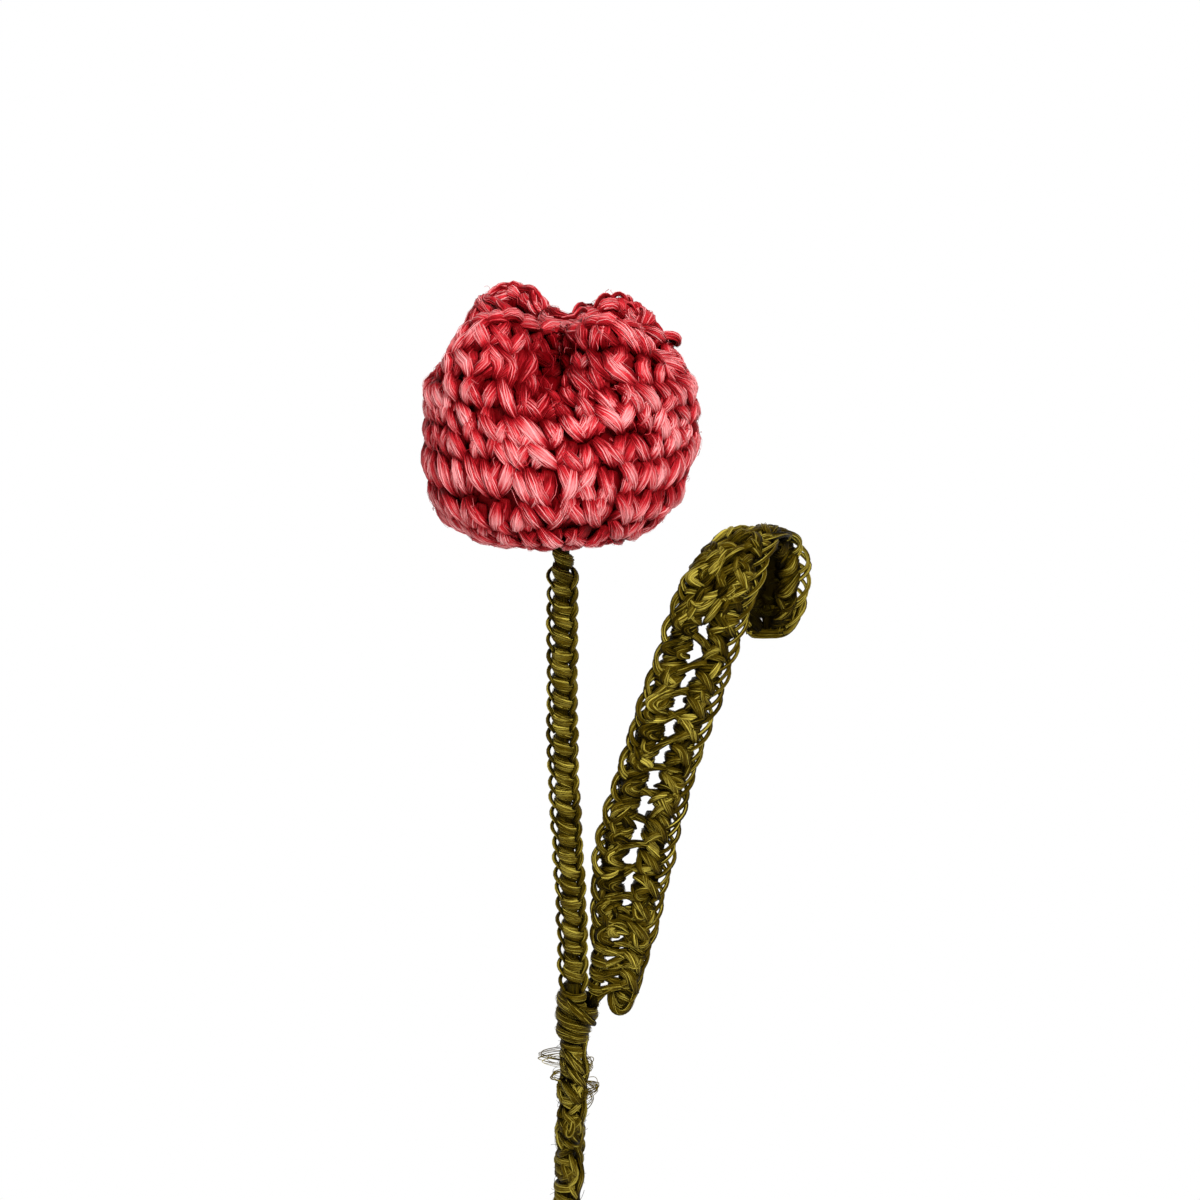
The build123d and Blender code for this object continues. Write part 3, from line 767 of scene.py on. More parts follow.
def left_crooks(middle, rng):
    """Strands over the left band, two at the front and one behind: each comes out at a rung, goes round
    the band's outer edge like a crook, and comes back to the next rung below. The second at the front is
    smaller and lies in the first."""
    share = np.linspace(0, 1, CHAIN_POINTS + 2)
    swell = tapered(share, 0.5)
    skins = []
    for face, size, lift in CROOKS:
        out = CROOK_REACH * size * rng.uniform(0.78, 1.05, middle.shape)
        across = CROOK_ROOT - out * np.sin(np.pi * share) ** 0.8 + rng.normal(0, 0.4, middle.shape)
        along = middle + size * (CROOK_START - CROOK_DROP * share) + rng.normal(0, 0.6, middle.shape)
        along = along + rng.normal(0, 0.6, middle.shape) * (share - 0.5)
        off = face * (CROOK_OFF + lift * np.sin(np.pi * share ** 1.3)) * rng.uniform(0.8, 1.2, middle.shape)
        tone = curl_tone(across, along, off) + rng.normal(0.02, 0.13, middle.shape)
        skins.append(on_leaf(across, along, off, face, rng, CROOK, twist=1.8, swell=swell, tone=tone))
    return joined(*skins)


def right_crosses(middle, rng):
    """Strands over the right band, front and back: each goes down from a rung to the band's outer edge,
    and a lower one crosses under it the other way."""
    share = np.linspace(0, 1, CHAIN_POINTS)
    swell = tapered(share, 0.5)
    skins = []
    for face, start, end, lift in CROSSES:
        reach = (CROSS_REACH + rng.normal(0, 0.6, middle.shape)) * kept_width(1, middle)
        across = BAND_OUT + reach * (share - CROSS_MIDDLE)
        along = middle + start + (end - start) * share + rng.normal(0, 0.7, middle.shape)
        along = along + rng.normal(0.9, 0.7, middle.shape) * np.sin(np.pi * share)
        off = face * (CROSS_OFF + lift * np.sin(np.pi * share) * rng.uniform(0.7, 1.15, middle.shape))
        tone = curl_tone(across, along, off) + rng.normal(0.02, 0.13, middle.shape)
        skins.append(on_leaf(across, along, off, face, rng, CROSS, twist=1.8, swell=swell, tone=tone))
    return joined(*skins)


def rungs(middle, rng, slant):
    """Short strands from band to band, between each two gaps, that cross or lie beside each other. Over
    the crest they lie closer and at all slants."""
    share = np.linspace(0, 1, CHAIN_POINTS)
    across = RUNG_HALF * (2 * share - 1) + rng.normal(0, 0.5, middle.shape)
    along = middle + rng.normal(0, slant, middle.shape) * (2 * share - 1) + RUNG_BOW * np.sin(np.pi * share)
    along = np.minimum(along, LEAF_LENGTH - RUNGS_END)
    off = RUNG_BOW * np.sin(np.pi * share) + rng.normal(0, 0.4, middle.shape)
    tone = curl_tone(across, along, -1) - 0.12
    return on_leaf(across, along, off, 1, rng, RUNG, twist=1.8, tone=tone)


def edge_loops(edge, middle, rng, sizes, lap, bow_out):
    """Open loops along one edge: each leaves the band at the front, bows out to the leaf's edge and goes
    back in behind the next loop. Past the curl their better side is the inner one, which faces the
    light, and there they are painted lighter, a painted light on the tip's edge."""
    share = np.linspace(0, 1, CHAIN_POINTS + 2)
    bow = np.sin(np.pi * share) ** 0.7 * rng.uniform(0.9, 1.06, middle.shape)
    reach = LEAF_HALF + bow_out - sizes["half_width"] - LOOPS_ROOT
    across = edge * (LOOPS_ROOT + reach * bow)
    along = np.minimum(middle + LEAF_PITCH * lap * (share - 0.5), LEAF_LENGTH - LOOPS_END)
    off = LOOPS_FRONT - LOOPS_DEPTH * share
    hanging = middle > LEAF_RISE + LOOPS_TURN * np.pi * LEAF_CURL_R
    face = np.where(hanging, -1.0, 1.0)
    return on_leaf(across, along, off, face, rng, sizes, twist=1.2, tone=TIP_PAINTED_LIGHT * hanging)


def wild_strands(rng):
    """Loose strands on the leaf's front and back that keep to no stitch: short arcs from anywhere on a
    band, at any slant, that stand off it in the middle."""
    share = np.linspace(0, 1, CHAIN_POINTS)
    number = np.arange(WILD_STRANDS)[:, None]
    face = np.where(number % 3, 1.0, -1.0)
    band = np.where(number % 2, 1.0, -1.0)
    slant = rng.uniform(-1.5, 1.5, number.shape)
    reach = rng.uniform(*ARC_LENGTH, number.shape)
    hook = rng.normal(0, 1.0, number.shape) * np.sin(np.pi * share)
    across = band * rng.uniform(*WILD_MIDDLE, number.shape) + reach * np.cos(slant) * (share - 0.5)
    across = np.clip(across - hook * np.sin(slant), *WILD_LIMITS)
    along = rng.uniform(*WILD_ALONG, number.shape) + reach * np.sin(slant) * (share - 0.5)
    along = along + hook * np.cos(slant)
    off = face * (0.3 + rng.uniform(*WILD_LIFT, number.shape) * np.sin(np.pi * share))
    swell = tapered(share, 0.35)
    tone = curl_tone(across, along, off) + rng.normal(0.02, 0.16, number.shape)
    return on_leaf(across, along, off, face, rng, WILD, twist=2.0, swell=swell, tone=tone)


def crest_ropes(rng):
    """The close stitches on the outside of the curl: thick arcs that mostly rise to the right, over and
    under each other."""
    share = np.linspace(0, 1, CHAIN_POINTS)
    shape = (CREST_ROPES, 1)
    reach = rng.uniform(*ARC_LENGTH, shape)
    slant = rng.normal(0.7, 0.6, shape)
    across = rng.uniform(*CREST_MIDDLE, shape) + reach * np.cos(slant) * (share - 0.5)
    across = np.clip(across, -CREST_HALF, CREST_HALF)
    along = rng.uniform(*CREST_ALONG, shape)
    along = along + reach * np.sin(slant) * (share - 0.5) + rng.normal(0, 0.8, shape) * np.sin(np.pi * share)
    off = 0.1 + rng.uniform(*CREST_LIFT, shape) * np.sin(np.pi * share)
    swell = tapered(share, 0.35)
    tone = rng.normal(-0.04, 0.16, shape)
    return on_leaf(across, along, off, 1, rng, CREST_ROPE, twist=1.8, swell=swell, tone=tone)


def crest_web():
    """The close stitches of the curl and tip, under the strands: one thin layer between the two edges,
    painted dark as the shade between the strands."""
    along = np.linspace(*WEB_ALONG, WEB_GRID[0])[:, None]
    across = np.linspace(-WEB_HALF, WEB_HALF, WEB_GRID[1])[None]
    back, front = [leaf_sheet(across, along, off) for off in (-WEB_DEPTH, WEB_DEPTH)]
    rings = np.concatenate([back, front[:, ::-1]], axis=1)[None]
    return ring_stacks(rings, np.full(rings.shape[:2], WEB_PAINTED_SHADE))


def tip_hem(rng):
    """The end of the leaf: two strands round the tip from one edge to the other, on a squarish bow, one over
    the bend of the wire, and short ones that run down to the bow and leave one small gap. All are painted
    darker as the curl's shade, the hem strands a little and the others much, the short ones less so
    towards the right, which is open to the light."""
    turn = np.linspace(np.pi, 0, 17)
    half, depth = np.array(TIP_BOWS).T[:, :, None]
    across = half * np.sign(np.cos(turn)) * np.abs(np.cos(turn)) ** 0.4
    along = TIP_BOWS_AT + depth * np.sin(turn) ** 0.3
    off = np.stack([0.4 * np.sin(3 * turn), 0.5 * np.cos(2 * turn)])
    beside = np.array(TIP_UPRIGHTS)[:, None] + 0.6 * np.linspace(-1, 1, 7)
    down = TIP_UPRIGHTS_AT + np.linspace(0, TIP_UPRIGHT, 7)
    # Painted shade inside the curl, lighter towards the right edge.
    painted_tip_shade = -0.7 + 0.08 * np.maximum(beside, 0)
    over = BAND_OUT * np.cos(turn)[None]
    bend = LEAF_LENGTH - HAIRPIN_END + HAIRPIN_BOW * np.sin(turn)[None]
    return joined(
        on_leaf(across, along, off, -1, rng, LEFT_LOOP, twist=2.0, waves=2, tone=-0.12),
        on_leaf(beside, down, 0, -1, rng, CROOK, twist=2.0, tone=painted_tip_shade),
        on_leaf(over, bend, 0, 1, rng, CORD, spread=2 * np.pi, twist=3.0, waves=2, tone=-0.6),
    )


def foot_ends(rng):
    """The leaf's lower end: the right band's free end is three loops, one in the other, and the left
    band narrows to a cord, wound with yarn, that runs down beside the stem into the binding."""
    turn = np.linspace(0, np.pi, 15)
    half, depth, phase = np.array(FREE_LOOPS).T[:, :, None]
    along = FREE_TOP - depth * np.sin(turn) ** 0.55
    loop = leaf_sheet(FREE_MIDDLE + half * np.cos(turn), along, 0.6 * np.cos(turn + phase))
    cord = left_cord(CORD_STEPS)[None]
    angle = np.linspace(0, 2 * np.pi * CORD_TURNS, CORD_TURN_POINTS * CORD_TURNS)
    spoke = np.stack([np.cos(angle), -np.sin(angle), 0 * angle], axis=-1)
    reach = CORD_TURN_REACH + wander(angle[None], 0.25, 9.0, rng, 1)[0]
    bare = len(angle) // 4
    wound = (left_cord(len(angle)) + reach[:, None] * spoke)[None, bare:]
    thin = 0.6 + 0.4 * np.clip(np.linspace(0, 4, CORD_STEPS), 0, 1)
    return joined(
        bundle(loop, FOOT_FRONT, rng=rng, twist=3.0, **FREE_LOOP),
        bundle(
            cord, FOOT_FRONT, rng=rng, spread=2 * np.pi, twist=9.0, waves=4, swell=thin, tone=-0.2, **CORD
        ),
        bundle(
            wound, spoke[None, bare:], rng=rng, spread=WOUND_SPREAD, twist=0.0, waves=8, tone=-0.05,
            **CORD_TURN,
        ),
    )


def foot_bridges(rng):
    """Strands from the left band's cord across to the right band, above its free end: each is a low arc
    at its own slant."""
    share = np.linspace(0, 1, CHAIN_POINTS)[:, None]
    height = np.linspace(*BRIDGE_STARTS, BRIDGES) + rng.normal(0, 0.03, BRIDGES)
    begin = left_cord(101)[(100 * np.clip(height, 0, 1)).astype(int)]
    along = np.maximum(begin[:, 2] - LEAF_FOOT[2] + rng.normal(0, 2.0, BRIDGES), 0)
    end = leaf_sheet(rng.uniform(*BRIDGE_ENDS, BRIDGES), along, 0)
    paths = begin[:, None] + (end - begin)[:, None] * share
    paths[..., 1] -= BRIDGE_BOW * np.sin(np.pi * share[:, 0]) * rng.uniform(0.4, 1.4, (BRIDGES, 1))
    paths[..., 2] += rng.normal(0.6, 0.9, (BRIDGES, 1)) * np.sin(np.pi * share[:, 0])
    tone = rng.normal(-0.12, 0.14, (BRIDGES, 1))
    return bundle(paths, FOOT_FRONT, rng=rng, twist=2.0, tone=tone, **RUNG)


rng = np.random.default_rng(13)
left_band = new_piece(
    "leaf_left_band",
    joined(
        band_core(-1, CORD_TOP),
        band_wraps(-1, leaf_steps(rng, 1, LEAF_STITCHES, every=0.5), rng),
        left_crooks(leaf_steps(rng, 1, LEAF_STITCHES), rng),
    ),
    green,
)
right_band = new_piece(
    "leaf_right_band",
    joined(
        band_core(1, -1.5),
        band_wraps(1, leaf_steps(rng, 3, LEAF_STITCHES, every=0.5), rng),
        band_wraps(1, FREE_END[:, :1], rng, FREE_END[:, 1:2], FREE_END[:, 2:]),
        right_crosses(leaf_steps(rng, 3, LEAF_STITCHES), rng),
    ),
    green,
)
leaf_rungs = new_piece(
    "leaf_rungs_and_crest",
    joined(
        rungs(np.repeat(leaf_steps(rng, 2.5, LADDER_GAPS), 2, axis=0), rng, slant=1.1),
        rungs(leaf_steps(rng, -LADDER_GAPS, LEAF_STITCHES - 0.4, every=0.5), rng, slant=2.2),
        crest_ropes(rng),
        crest_web(),
    ),
    green,
)
wild = new_piece("leaf_wild_strands", wild_strands(rng), green)
leaf_edges = new_piece(
    "leaf_edges",
    joined(
        *[
            edge_loops(edge, leaf_steps(rng, below, LEAF_STITCHES), rng, sizes, lap, bow_out)
            for edge, below, sizes, lap, bow_out in EDGE_ROWS
        ],
        tip_hem(rng),
        foot_ends(rng),
        foot_bridges(rng),
    ),
    green,
)
for piece in (left_band, right_band, leaf_rungs, wild, leaf_edges):
    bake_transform(piece)
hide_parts("leaf_blade")

# The binding: a few close turns of the olive yarn round the stem and the leaf's tail, which hold the leaf
# on. Under it the yarn crosses down to a small knot, and its cut ends are frayed into thin loops of single
# fibre.
BINDING_HEIGHTS = (162.0, 164.4, 168.6, 171.0)
BINDING_MIDDLES = (1.5, 1.6, 2.5, 2.7)
BINDING_REACHES = (2.8, 3.1, 3.9, 3.9)
BINDING_TILTS = (0.3, 0.7, 1.2, 1.2)
BINDING_TURNS = 3
BINDING_POINTS = 24
BINDING = {"half_width": 1.5, "half_depth": 1.0, "count": 15, "fibre": 0.13}
CROSSING_TOPS = (172.0, 159.5, 156.0, 152.0, 143.0)
CROSSING_DROP = 6.2
CROSSING_OUT = LOWER_R + 0.1
ASIDE_HEIGHTS = (160, 167)
ASIDE = (0.0, 1.6)
FRAY_R = 0.1
FRAY_ROOT = 2.6
FRAY_FRONT = (-2.8, 1.2)
FRAYS = (
    (-1, 9, 158.4, 5.6, -3.4, 0.12), (-1, 8, 154.0, 2.4, -3.0, 0.3), (-1, 4, 172.0, 1.0, -5.0, 0.2),
    (1, 8, 156.5, 2.0, -4.0, 0.3), (1, 12, 151.5, 3.4, -3.5, 0.45), (1, 6, 149.0, 2.2, -5.0, 0.3),
)
KNOT_HEIGHT = 141.0
KNOT_HALF = (0.9, 1.9)
KNOT_ASIDE = -0.4
KNOT_OUT = LOWER_R + 0.2
KNOT = {"half_width": 0.75, "half_depth": 0.6, "count": 6, "fibre": 0.19}


def binding_turns(rng):
    """A helix round the stem and the leaf's tail, wider at its top, where every turn is lower at the
    right."""
    turn = np.linspace(0, BINDING_TURNS, BINDING_TURNS * BINDING_POINTS)
    share = turn / BINDING_TURNS * (len(BINDING_HEIGHTS) - 1)
    step = np.arange(len(BINDING_HEIGHTS))
    angle = -2 * np.pi * turn
    spoke = np.stack([np.cos(angle), 0.95 * np.sin(angle), 0 * angle], axis=-1)
    height = np.interp(share, step, BINDING_HEIGHTS) - np.interp(share, step, BINDING_TILTS) * np.cos(angle)
    middle = np.stack([np.interp(share, step, BINDING_MIDDLES), 0 * turn, height], axis=-1)
    paths = middle + np.interp(share, step, BINDING_REACHES)[:, None] * spoke
    waver = wander(turn[None], 0.12, 1.4, rng, 1)
    return bundle(
        paths[None], spoke[None], rng=rng, spread=WOUND_SPREAD, twist=0.0, waves=6, tone=waver, **BINDING
    )


def crossing_strands(rng):
    """Strands that cross the turns under the binding, down to the right, and the small knot further down
    whose loop stands off the stem."""
    share = np.linspace(0, 1, CHAIN_POINTS)
    top = np.array(CROSSING_TOPS)[:, None]
    angle = np.pi * (1.25 + 0.55 * share) + rng.normal(0, 0.2, top.shape)
    aside = np.interp(top, ASIDE_HEIGHTS, ASIDE)
    crossing, out = round_stem(top - CROSSING_DROP * share, angle, CROSSING_OUT + 0.75 * aside)
    crossing[..., 0] += aside
    turn = np.linspace(0, 2 * np.pi, 17)
    knot = stem_line(KNOT_HEIGHT + KNOT_HALF[1] * np.cos(turn))
    knot[:, 0] += KNOT_ASIDE + KNOT_HALF[0] * np.sin(turn)
    knot[:, 1] += 0.5 * np.cos(turn) - KNOT_OUT
    return joined(
        bundle(crossing, out, rng=rng, twist=2.0, swell=tapered(share, 0.4), **CROSS),
        bundle(knot[None], np.array([0.0, -1, 0]), rng=rng, twist=3.0, tone=-0.15, **KNOT),
    )


def frays(rng):
    """Loose single fibres at the left and the right: each leaves the yarn, bows out to its own tip with
    a curl on the way, and comes back lower down."""
    share = np.linspace(0, 1, 22)
    skins = []
    for edge, count, top, reach, drop, curliness in FRAYS:
        shape = (count, 1)
        bow = np.sin(np.pi * share) ** 0.8 * reach * rng.uniform(0.5, 1.0, shape) ** (0.1 / curliness)
        curl = rng.normal(0, curliness, shape) * np.sin(2 * np.pi * share * rng.uniform(0.7, 1.7, shape))
        height = top + rng.normal(0, 0.4, shape) + drop * rng.uniform(0.6, 1, shape) * share + curl
        front = rng.uniform(*FRAY_FRONT, shape) + rng.normal(0, 1.0, shape) * share
        across = edge * (FRAY_ROOT + bow) + 0.5 * curl
        paths = stem_line(height) + np.stack([across, front, 0 * height], axis=-1)
        radius = FRAY_R * rng.uniform(0.6, 1.3, shape)
        skins.append(strands(paths, np.array([0.0, -1, 0.3]), radius, rng.uniform(0.25, 0.6, shape)))
    return joined(*skins)


rng = np.random.default_rng(14)
binding = new_piece("leaf_binding_yarn", joined(binding_turns(rng), crossing_strands(rng), frays(rng)), green)
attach(binding, "stem")
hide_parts("leaf_binding")

# The flower: a bag of coral red plant fibre yarn in rounds of single crochet, begun at the base and pinched
# at the top into four petals. Every stitch shows as a V of two fat fibre bundles whose foot goes into a
# dark hole.
RED_DEEP = (94, 2, 6)
RED_MIDDLE = (176, 29, 38)
RED_PALE = (230, 156, 157)
RED_GLOSS = (255, 120, 118)
CUP_X = -0.7
BASE_R = 14.5
CUP_R = 29.6
BELLY_HEIGHT = 21
RIM_HEIGHT = 56
RIM_LOBE_R = 23.5
LOBE_HOLD = 5
PINCH_R = 5.5
PINCH_HEIGHT = 47
PINCH_SHARPNESS = 3
SIDE_DELAY = 7
BASE_SHIFT = -2.2
LOBES = 4
LOBE_FULLNESS = 3.4
LOBE_TURN = np.radians(41)
LOWER_ROUNDS = 4
UPPER_ROUNDS = 5
BASE_ROUNDS = 2
LAST_ROUND = LOWER_ROUNDS + UPPER_ROUNDS
TROUGH_LOW = 46
TROUGH_R = 38
RIM_TILT = np.radians(4)
LEVELS_A_ROUND = 10
COLUMNS = 720
STITCH_WIDTH = 5.3
FULL_ROUND = 36
STITCH_POINTS = 7
TALLEST_STITCH = 9.0
ROUND_DRIFT = 0.29
ROUND_WAVE = 0.13
ROUND_WAVES = 3
ROUND_WAVE_SHIFT = 0.31
BASE_SUNK = 1.2
BASE_SUNK_ROUNDS = 1.5
SHOULDER_ROUND = 7.2
SHOULDER_FULLNESS = 0.9
FOLD_PAINTED_SHADE = 0.75
FRONT_FOLD = (-4.0, 6.9)
FRONT_FOLD_SIZE = (4.5, 1.1)
FRONT_FOLD_DEPTH = 1.3
FRONT_FOLD_PAINTED_SHADE = 0.4
LEG_SPREAD = np.radians(210)
LEG_ARCH = 0.86
LEG_FULLNESS = (0.8, 1.15)
LEG_TONE = -0.1
LEG_PAINTED_SHADING = 0.42
FOOT_SUNK = (1.4, 2.5)
LONG_LEG = {"half_width": 1.7, "half_depth": 1.25, "count": 13, "fibre": 0.13}
SHORT_LEG = {"half_width": 1.5, "half_depth": 1.15, "count": 11, "fibre": 0.13}
UNDER_LEG = {"half_width": 1.8, "half_depth": 0.9, "count": 5, "fibre": 0.22}
# Each leg's sizes, its lowest and highest round, its lean at the foot and at the head, its lift off the
# surface, and its depth: how much darker it is painted, as painted shade for the strand behind.
LEGS = (
    (LONG_LEG, -0.15, 1.06, 0.22, -0.86, -0.65, 0.0),
    (SHORT_LEG, -0.1, 1.04, 0.24, 0.62, -0.8, 0.0),
    (UNDER_LEG, -0.1, 1.1, 0.5, 0.8, -1.7, 0.25),
)
LINING_OUT = -2.4
LINING_IN = -3.8
LINING_MIDDLE = (LINING_OUT + LINING_IN) / 2
LINING_GRID = (60, 180)
LINING_WAVE = 0.35
LINING_PAINTED_SHADE = -0.2
INNER_FOOT = LAST_ROUND - 2.2
INNER_RISE = 2.1
INNER_OFF = LINING_IN - 0.1
INNER_BULGE = 0.35
INNER_PAINTED_SHADE = (-1.3, 0.3)
INNER = {"half_width": 1.3, "half_depth": 0.5, "count": 6, "fibre": 0.22}
CHAIN_OUT = 1.0
RIM_SUNK = 0.9
RIM_RISE = 1.2
RIM_LAP = 1.5
RIM_LEG = {"half_width": 1.8, "half_depth": 1.35, "count": 14, "fibre": 0.13}
BACK_PETALS = 9
ARCH = {"half_width": 0.55, "half_depth": 0.5, "count": 5, "fibre": 0.18}
EAR_POINTS = 31
EARS = (
    (0.035, 0.22, ((0.0, 0.12, 0.3, 0.5, 0.65, 0.8, 0.92, 1.0), (-0.6, 1.9, 1.5, 1.0, 1.7, 3.3, 2.8, -0.6))),
    (0.785, 0.965, ((0.0, 0.5, 1.0), (-0.6, 1.0, -0.6))),
)
EAR = {"half_width": 0.85, "half_depth": 0.8, "count": 10, "fibre": 0.13}
FLYAWAYS = 260
RIM_FRIZZ = 80
FLYAWAY_R = 0.05
FLYAWAY_SIZES = (0.7, 1.4)
FLYAWAY_SHADES = (0.2, 0.65)
FLYAWAY_ROUNDS = (1.5, LAST_ROUND - 0.1)
FLYAWAY_ROOT = -0.6
FLYAWAY_ARCH = (0.5, 1.8)
RIM_FRIZZ_HEIGHT = (0.8, 3.0)
LOOSE_ROUND = 8.25
LOOSE_DROP = 0.85
LOOSE_AROUND = 0.85
LOOSE_DRIFT = 0.008
LOOSE_DEPTH = 1.5
LOOSE_REACH = 3.6
LOOSE = {"half_width": 1.1, "half_depth": 0.9, "count": 10, "fibre": 0.13}


def cup_grid():
    """The flower's outside, one row for each tenth of a round from the middle of the base to the rim,
    with its points evenly spaced by length round each row. The base is flat, the lower rounds climb a
    quarter ellipse, and above the belly the outline is drawn in between four lobes, ever deeper up to
    the rim, which is a trough from side to side: low at the middle, and higher towards the front and the
    back. The folds at the sides run in later than those at the front and back, and the base sits a
    little to one side."""
    levels = LEVELS_A_ROUND * (BASE_ROUNDS + LAST_ROUND) + 1
    rounds = np.linspace(-BASE_ROUNDS + 0.05, LAST_ROUND, levels)[:, None]
    angle = np.linspace(0, 2 * np.pi, 2 * COLUMNS + 1)[None] + np.pi / 4
    climb = np.pi / 2 * np.clip(rounds / LOWER_ROUNDS, 0, 1)
    share = np.clip((rounds - LOWER_ROUNDS) / UPPER_ROUNDS, 0, 1)
    height = BELLY_HEIGHT * (1 - np.cos(climb)) + (RIM_HEIGHT - BELLY_HEIGHT) * share
    lobe = BASE_R + (CUP_R - BASE_R) * np.sin(climb) - (CUP_R - RIM_LOBE_R) * share ** LOBE_HOLD
    lobe = lobe * np.clip(1 + rounds / BASE_ROUNDS, 0, 1)
    place = angle + LOBE_TURN
    sharpness = PINCH_SHARPNESS + SIDE_DELAY * np.cos(place) ** 2
    drawn = np.clip((height - BELLY_HEIGHT) / (PINCH_HEIGHT - BELLY_HEIGHT), 0, 1) ** sharpness
    radius = lobe - (lobe - PINCH_R) * drawn * np.abs(np.sin(LOBES / 2 * angle)) ** LOBE_FULLNESS
    x = radius * np.cos(place)
    y = radius * np.sin(place)
    rim = TROUGH_LOW + TROUGH_R - np.sqrt(TROUGH_R ** 2 - y[-1] ** 2) - x[-1] * np.tan(RIM_TILT)
    z = height + share * (rim - RIM_HEIGHT)
    x = x + CUP_X + BASE_SHIFT * np.clip(1 - height / BELLY_HEIGHT, 0, 1)
    rows = np.stack(np.broadcast_arrays(x, y, z + CUP_BASE), axis=-1)
    length = np.cumsum(np.linalg.norm(np.diff(rows, axis=1), axis=-1), axis=1)
    length = np.concatenate([0 * length[:, :1], length], axis=1)
    even = np.linspace(0, 1, COLUMNS + 1)
    return np.stack([
        np.stack([np.interp(even * run[-1], run, row[:, axis]) for axis in range(3)], axis=-1)
        for row, run in zip(rows, length)
    ])


cup_points = cup_grid()
cup_normals = unit(np.cross(np.gradient(cup_points, axis=1), np.gradient(cup_points, axis=0)))


def on_cup(rounds, around, off=0.0):
    """A point of the flower's outside and the direction out of it: between the nearest rows and columns
    of its grid, and off the surface by a distance."""
    row = np.clip((np.asarray(rounds) + BASE_ROUNDS) * LEVELS_A_ROUND, 0, len(cup_points) - 1.001)
    column = (around % 1) * COLUMNS
    row_low = row.astype(int)
    column_low = np.minimum(column.astype(int), COLUMNS - 1)
    up = (row - row_low)[..., None]
    on = (column - column_low)[..., None]

    def between(grid):
        """The mean of a grid's four nearest points, by how near each is."""
        low = grid[row_low, column_low] * (1 - on) + grid[row_low, column_low + 1] * on
        high = grid[row_low + 1, column_low] * (1 - on) + grid[row_low + 1, column_low + 1] * on
        return low * (1 - up) + high * up

    out = unit(between(cup_normals))
    return between(cup_points) + np.asarray(off)[..., None] * out, out


def fold_depth(rounds, points):
    """How far in a point above the belly lies: what its distance from the middle lacks of the widest in
    its round, as a share of that."""
    reach = np.hypot(cup_points[..., 0] - CUP_X, cup_points[..., 1]).max(axis=1)
    widest = np.interp((rounds + BASE_ROUNDS) * LEVELS_A_ROUND, np.arange(len(reach)), reach)
    depth = 1 - np.hypot(points[..., 0] - CUP_X, points[..., 1]) / widest
    return np.clip(depth, 0, 0.6) * (rounds > LOWER_ROUNDS)


def front_fold(rounds, points):
    """How deep in the fold at the flower's front a point is: one in its middle, and less on a bell curve
    away from it, across and from round to round."""
    across = (points[..., 0] - FRONT_FOLD[0]) / FRONT_FOLD_SIZE[0]
    up = (rounds - FRONT_FOLD[1]) / FRONT_FOLD_SIZE[1]
    return np.exp(-across ** 2 - up ** 2) * (points[..., 1] < 0)


def stitch_places(first_round):
    """Where the stitches of a round stand: how many there are all round, and for each one its place, the
    round that it starts in and its height in rounds. Where a fold leaves a round too tall, there are two
    half ones."""
    row = int((first_round + 0.55 + BASE_ROUNDS) * LEVELS_A_ROUND)
    length = np.linalg.norm(np.diff(cup_points[row], axis=0), axis=-1).sum()
    count = FULL_ROUND if first_round >= LOWER_ROUNDS - 1 else max(6, round(length / STITCH_WIDTH))
    place = np.arange(count)[:, None] + ROUND_DRIFT * first_round
    low, high = [on_cup(first_round + step, place / count)[0] for step in (0, 1)]
    tall = np.linalg.norm(high - low, axis=-1)[:, 0] > TALLEST_STITCH
    place = np.concatenate([place[~tall], place[tall], place[tall] + 0.5])
    half = (np.arange(len(place)) >= count - tall.sum())[:, None]
    second = (np.arange(len(place)) >= count)[:, None]
    return count, place, first_round + 0.5 * second, 1 - 0.5 * half


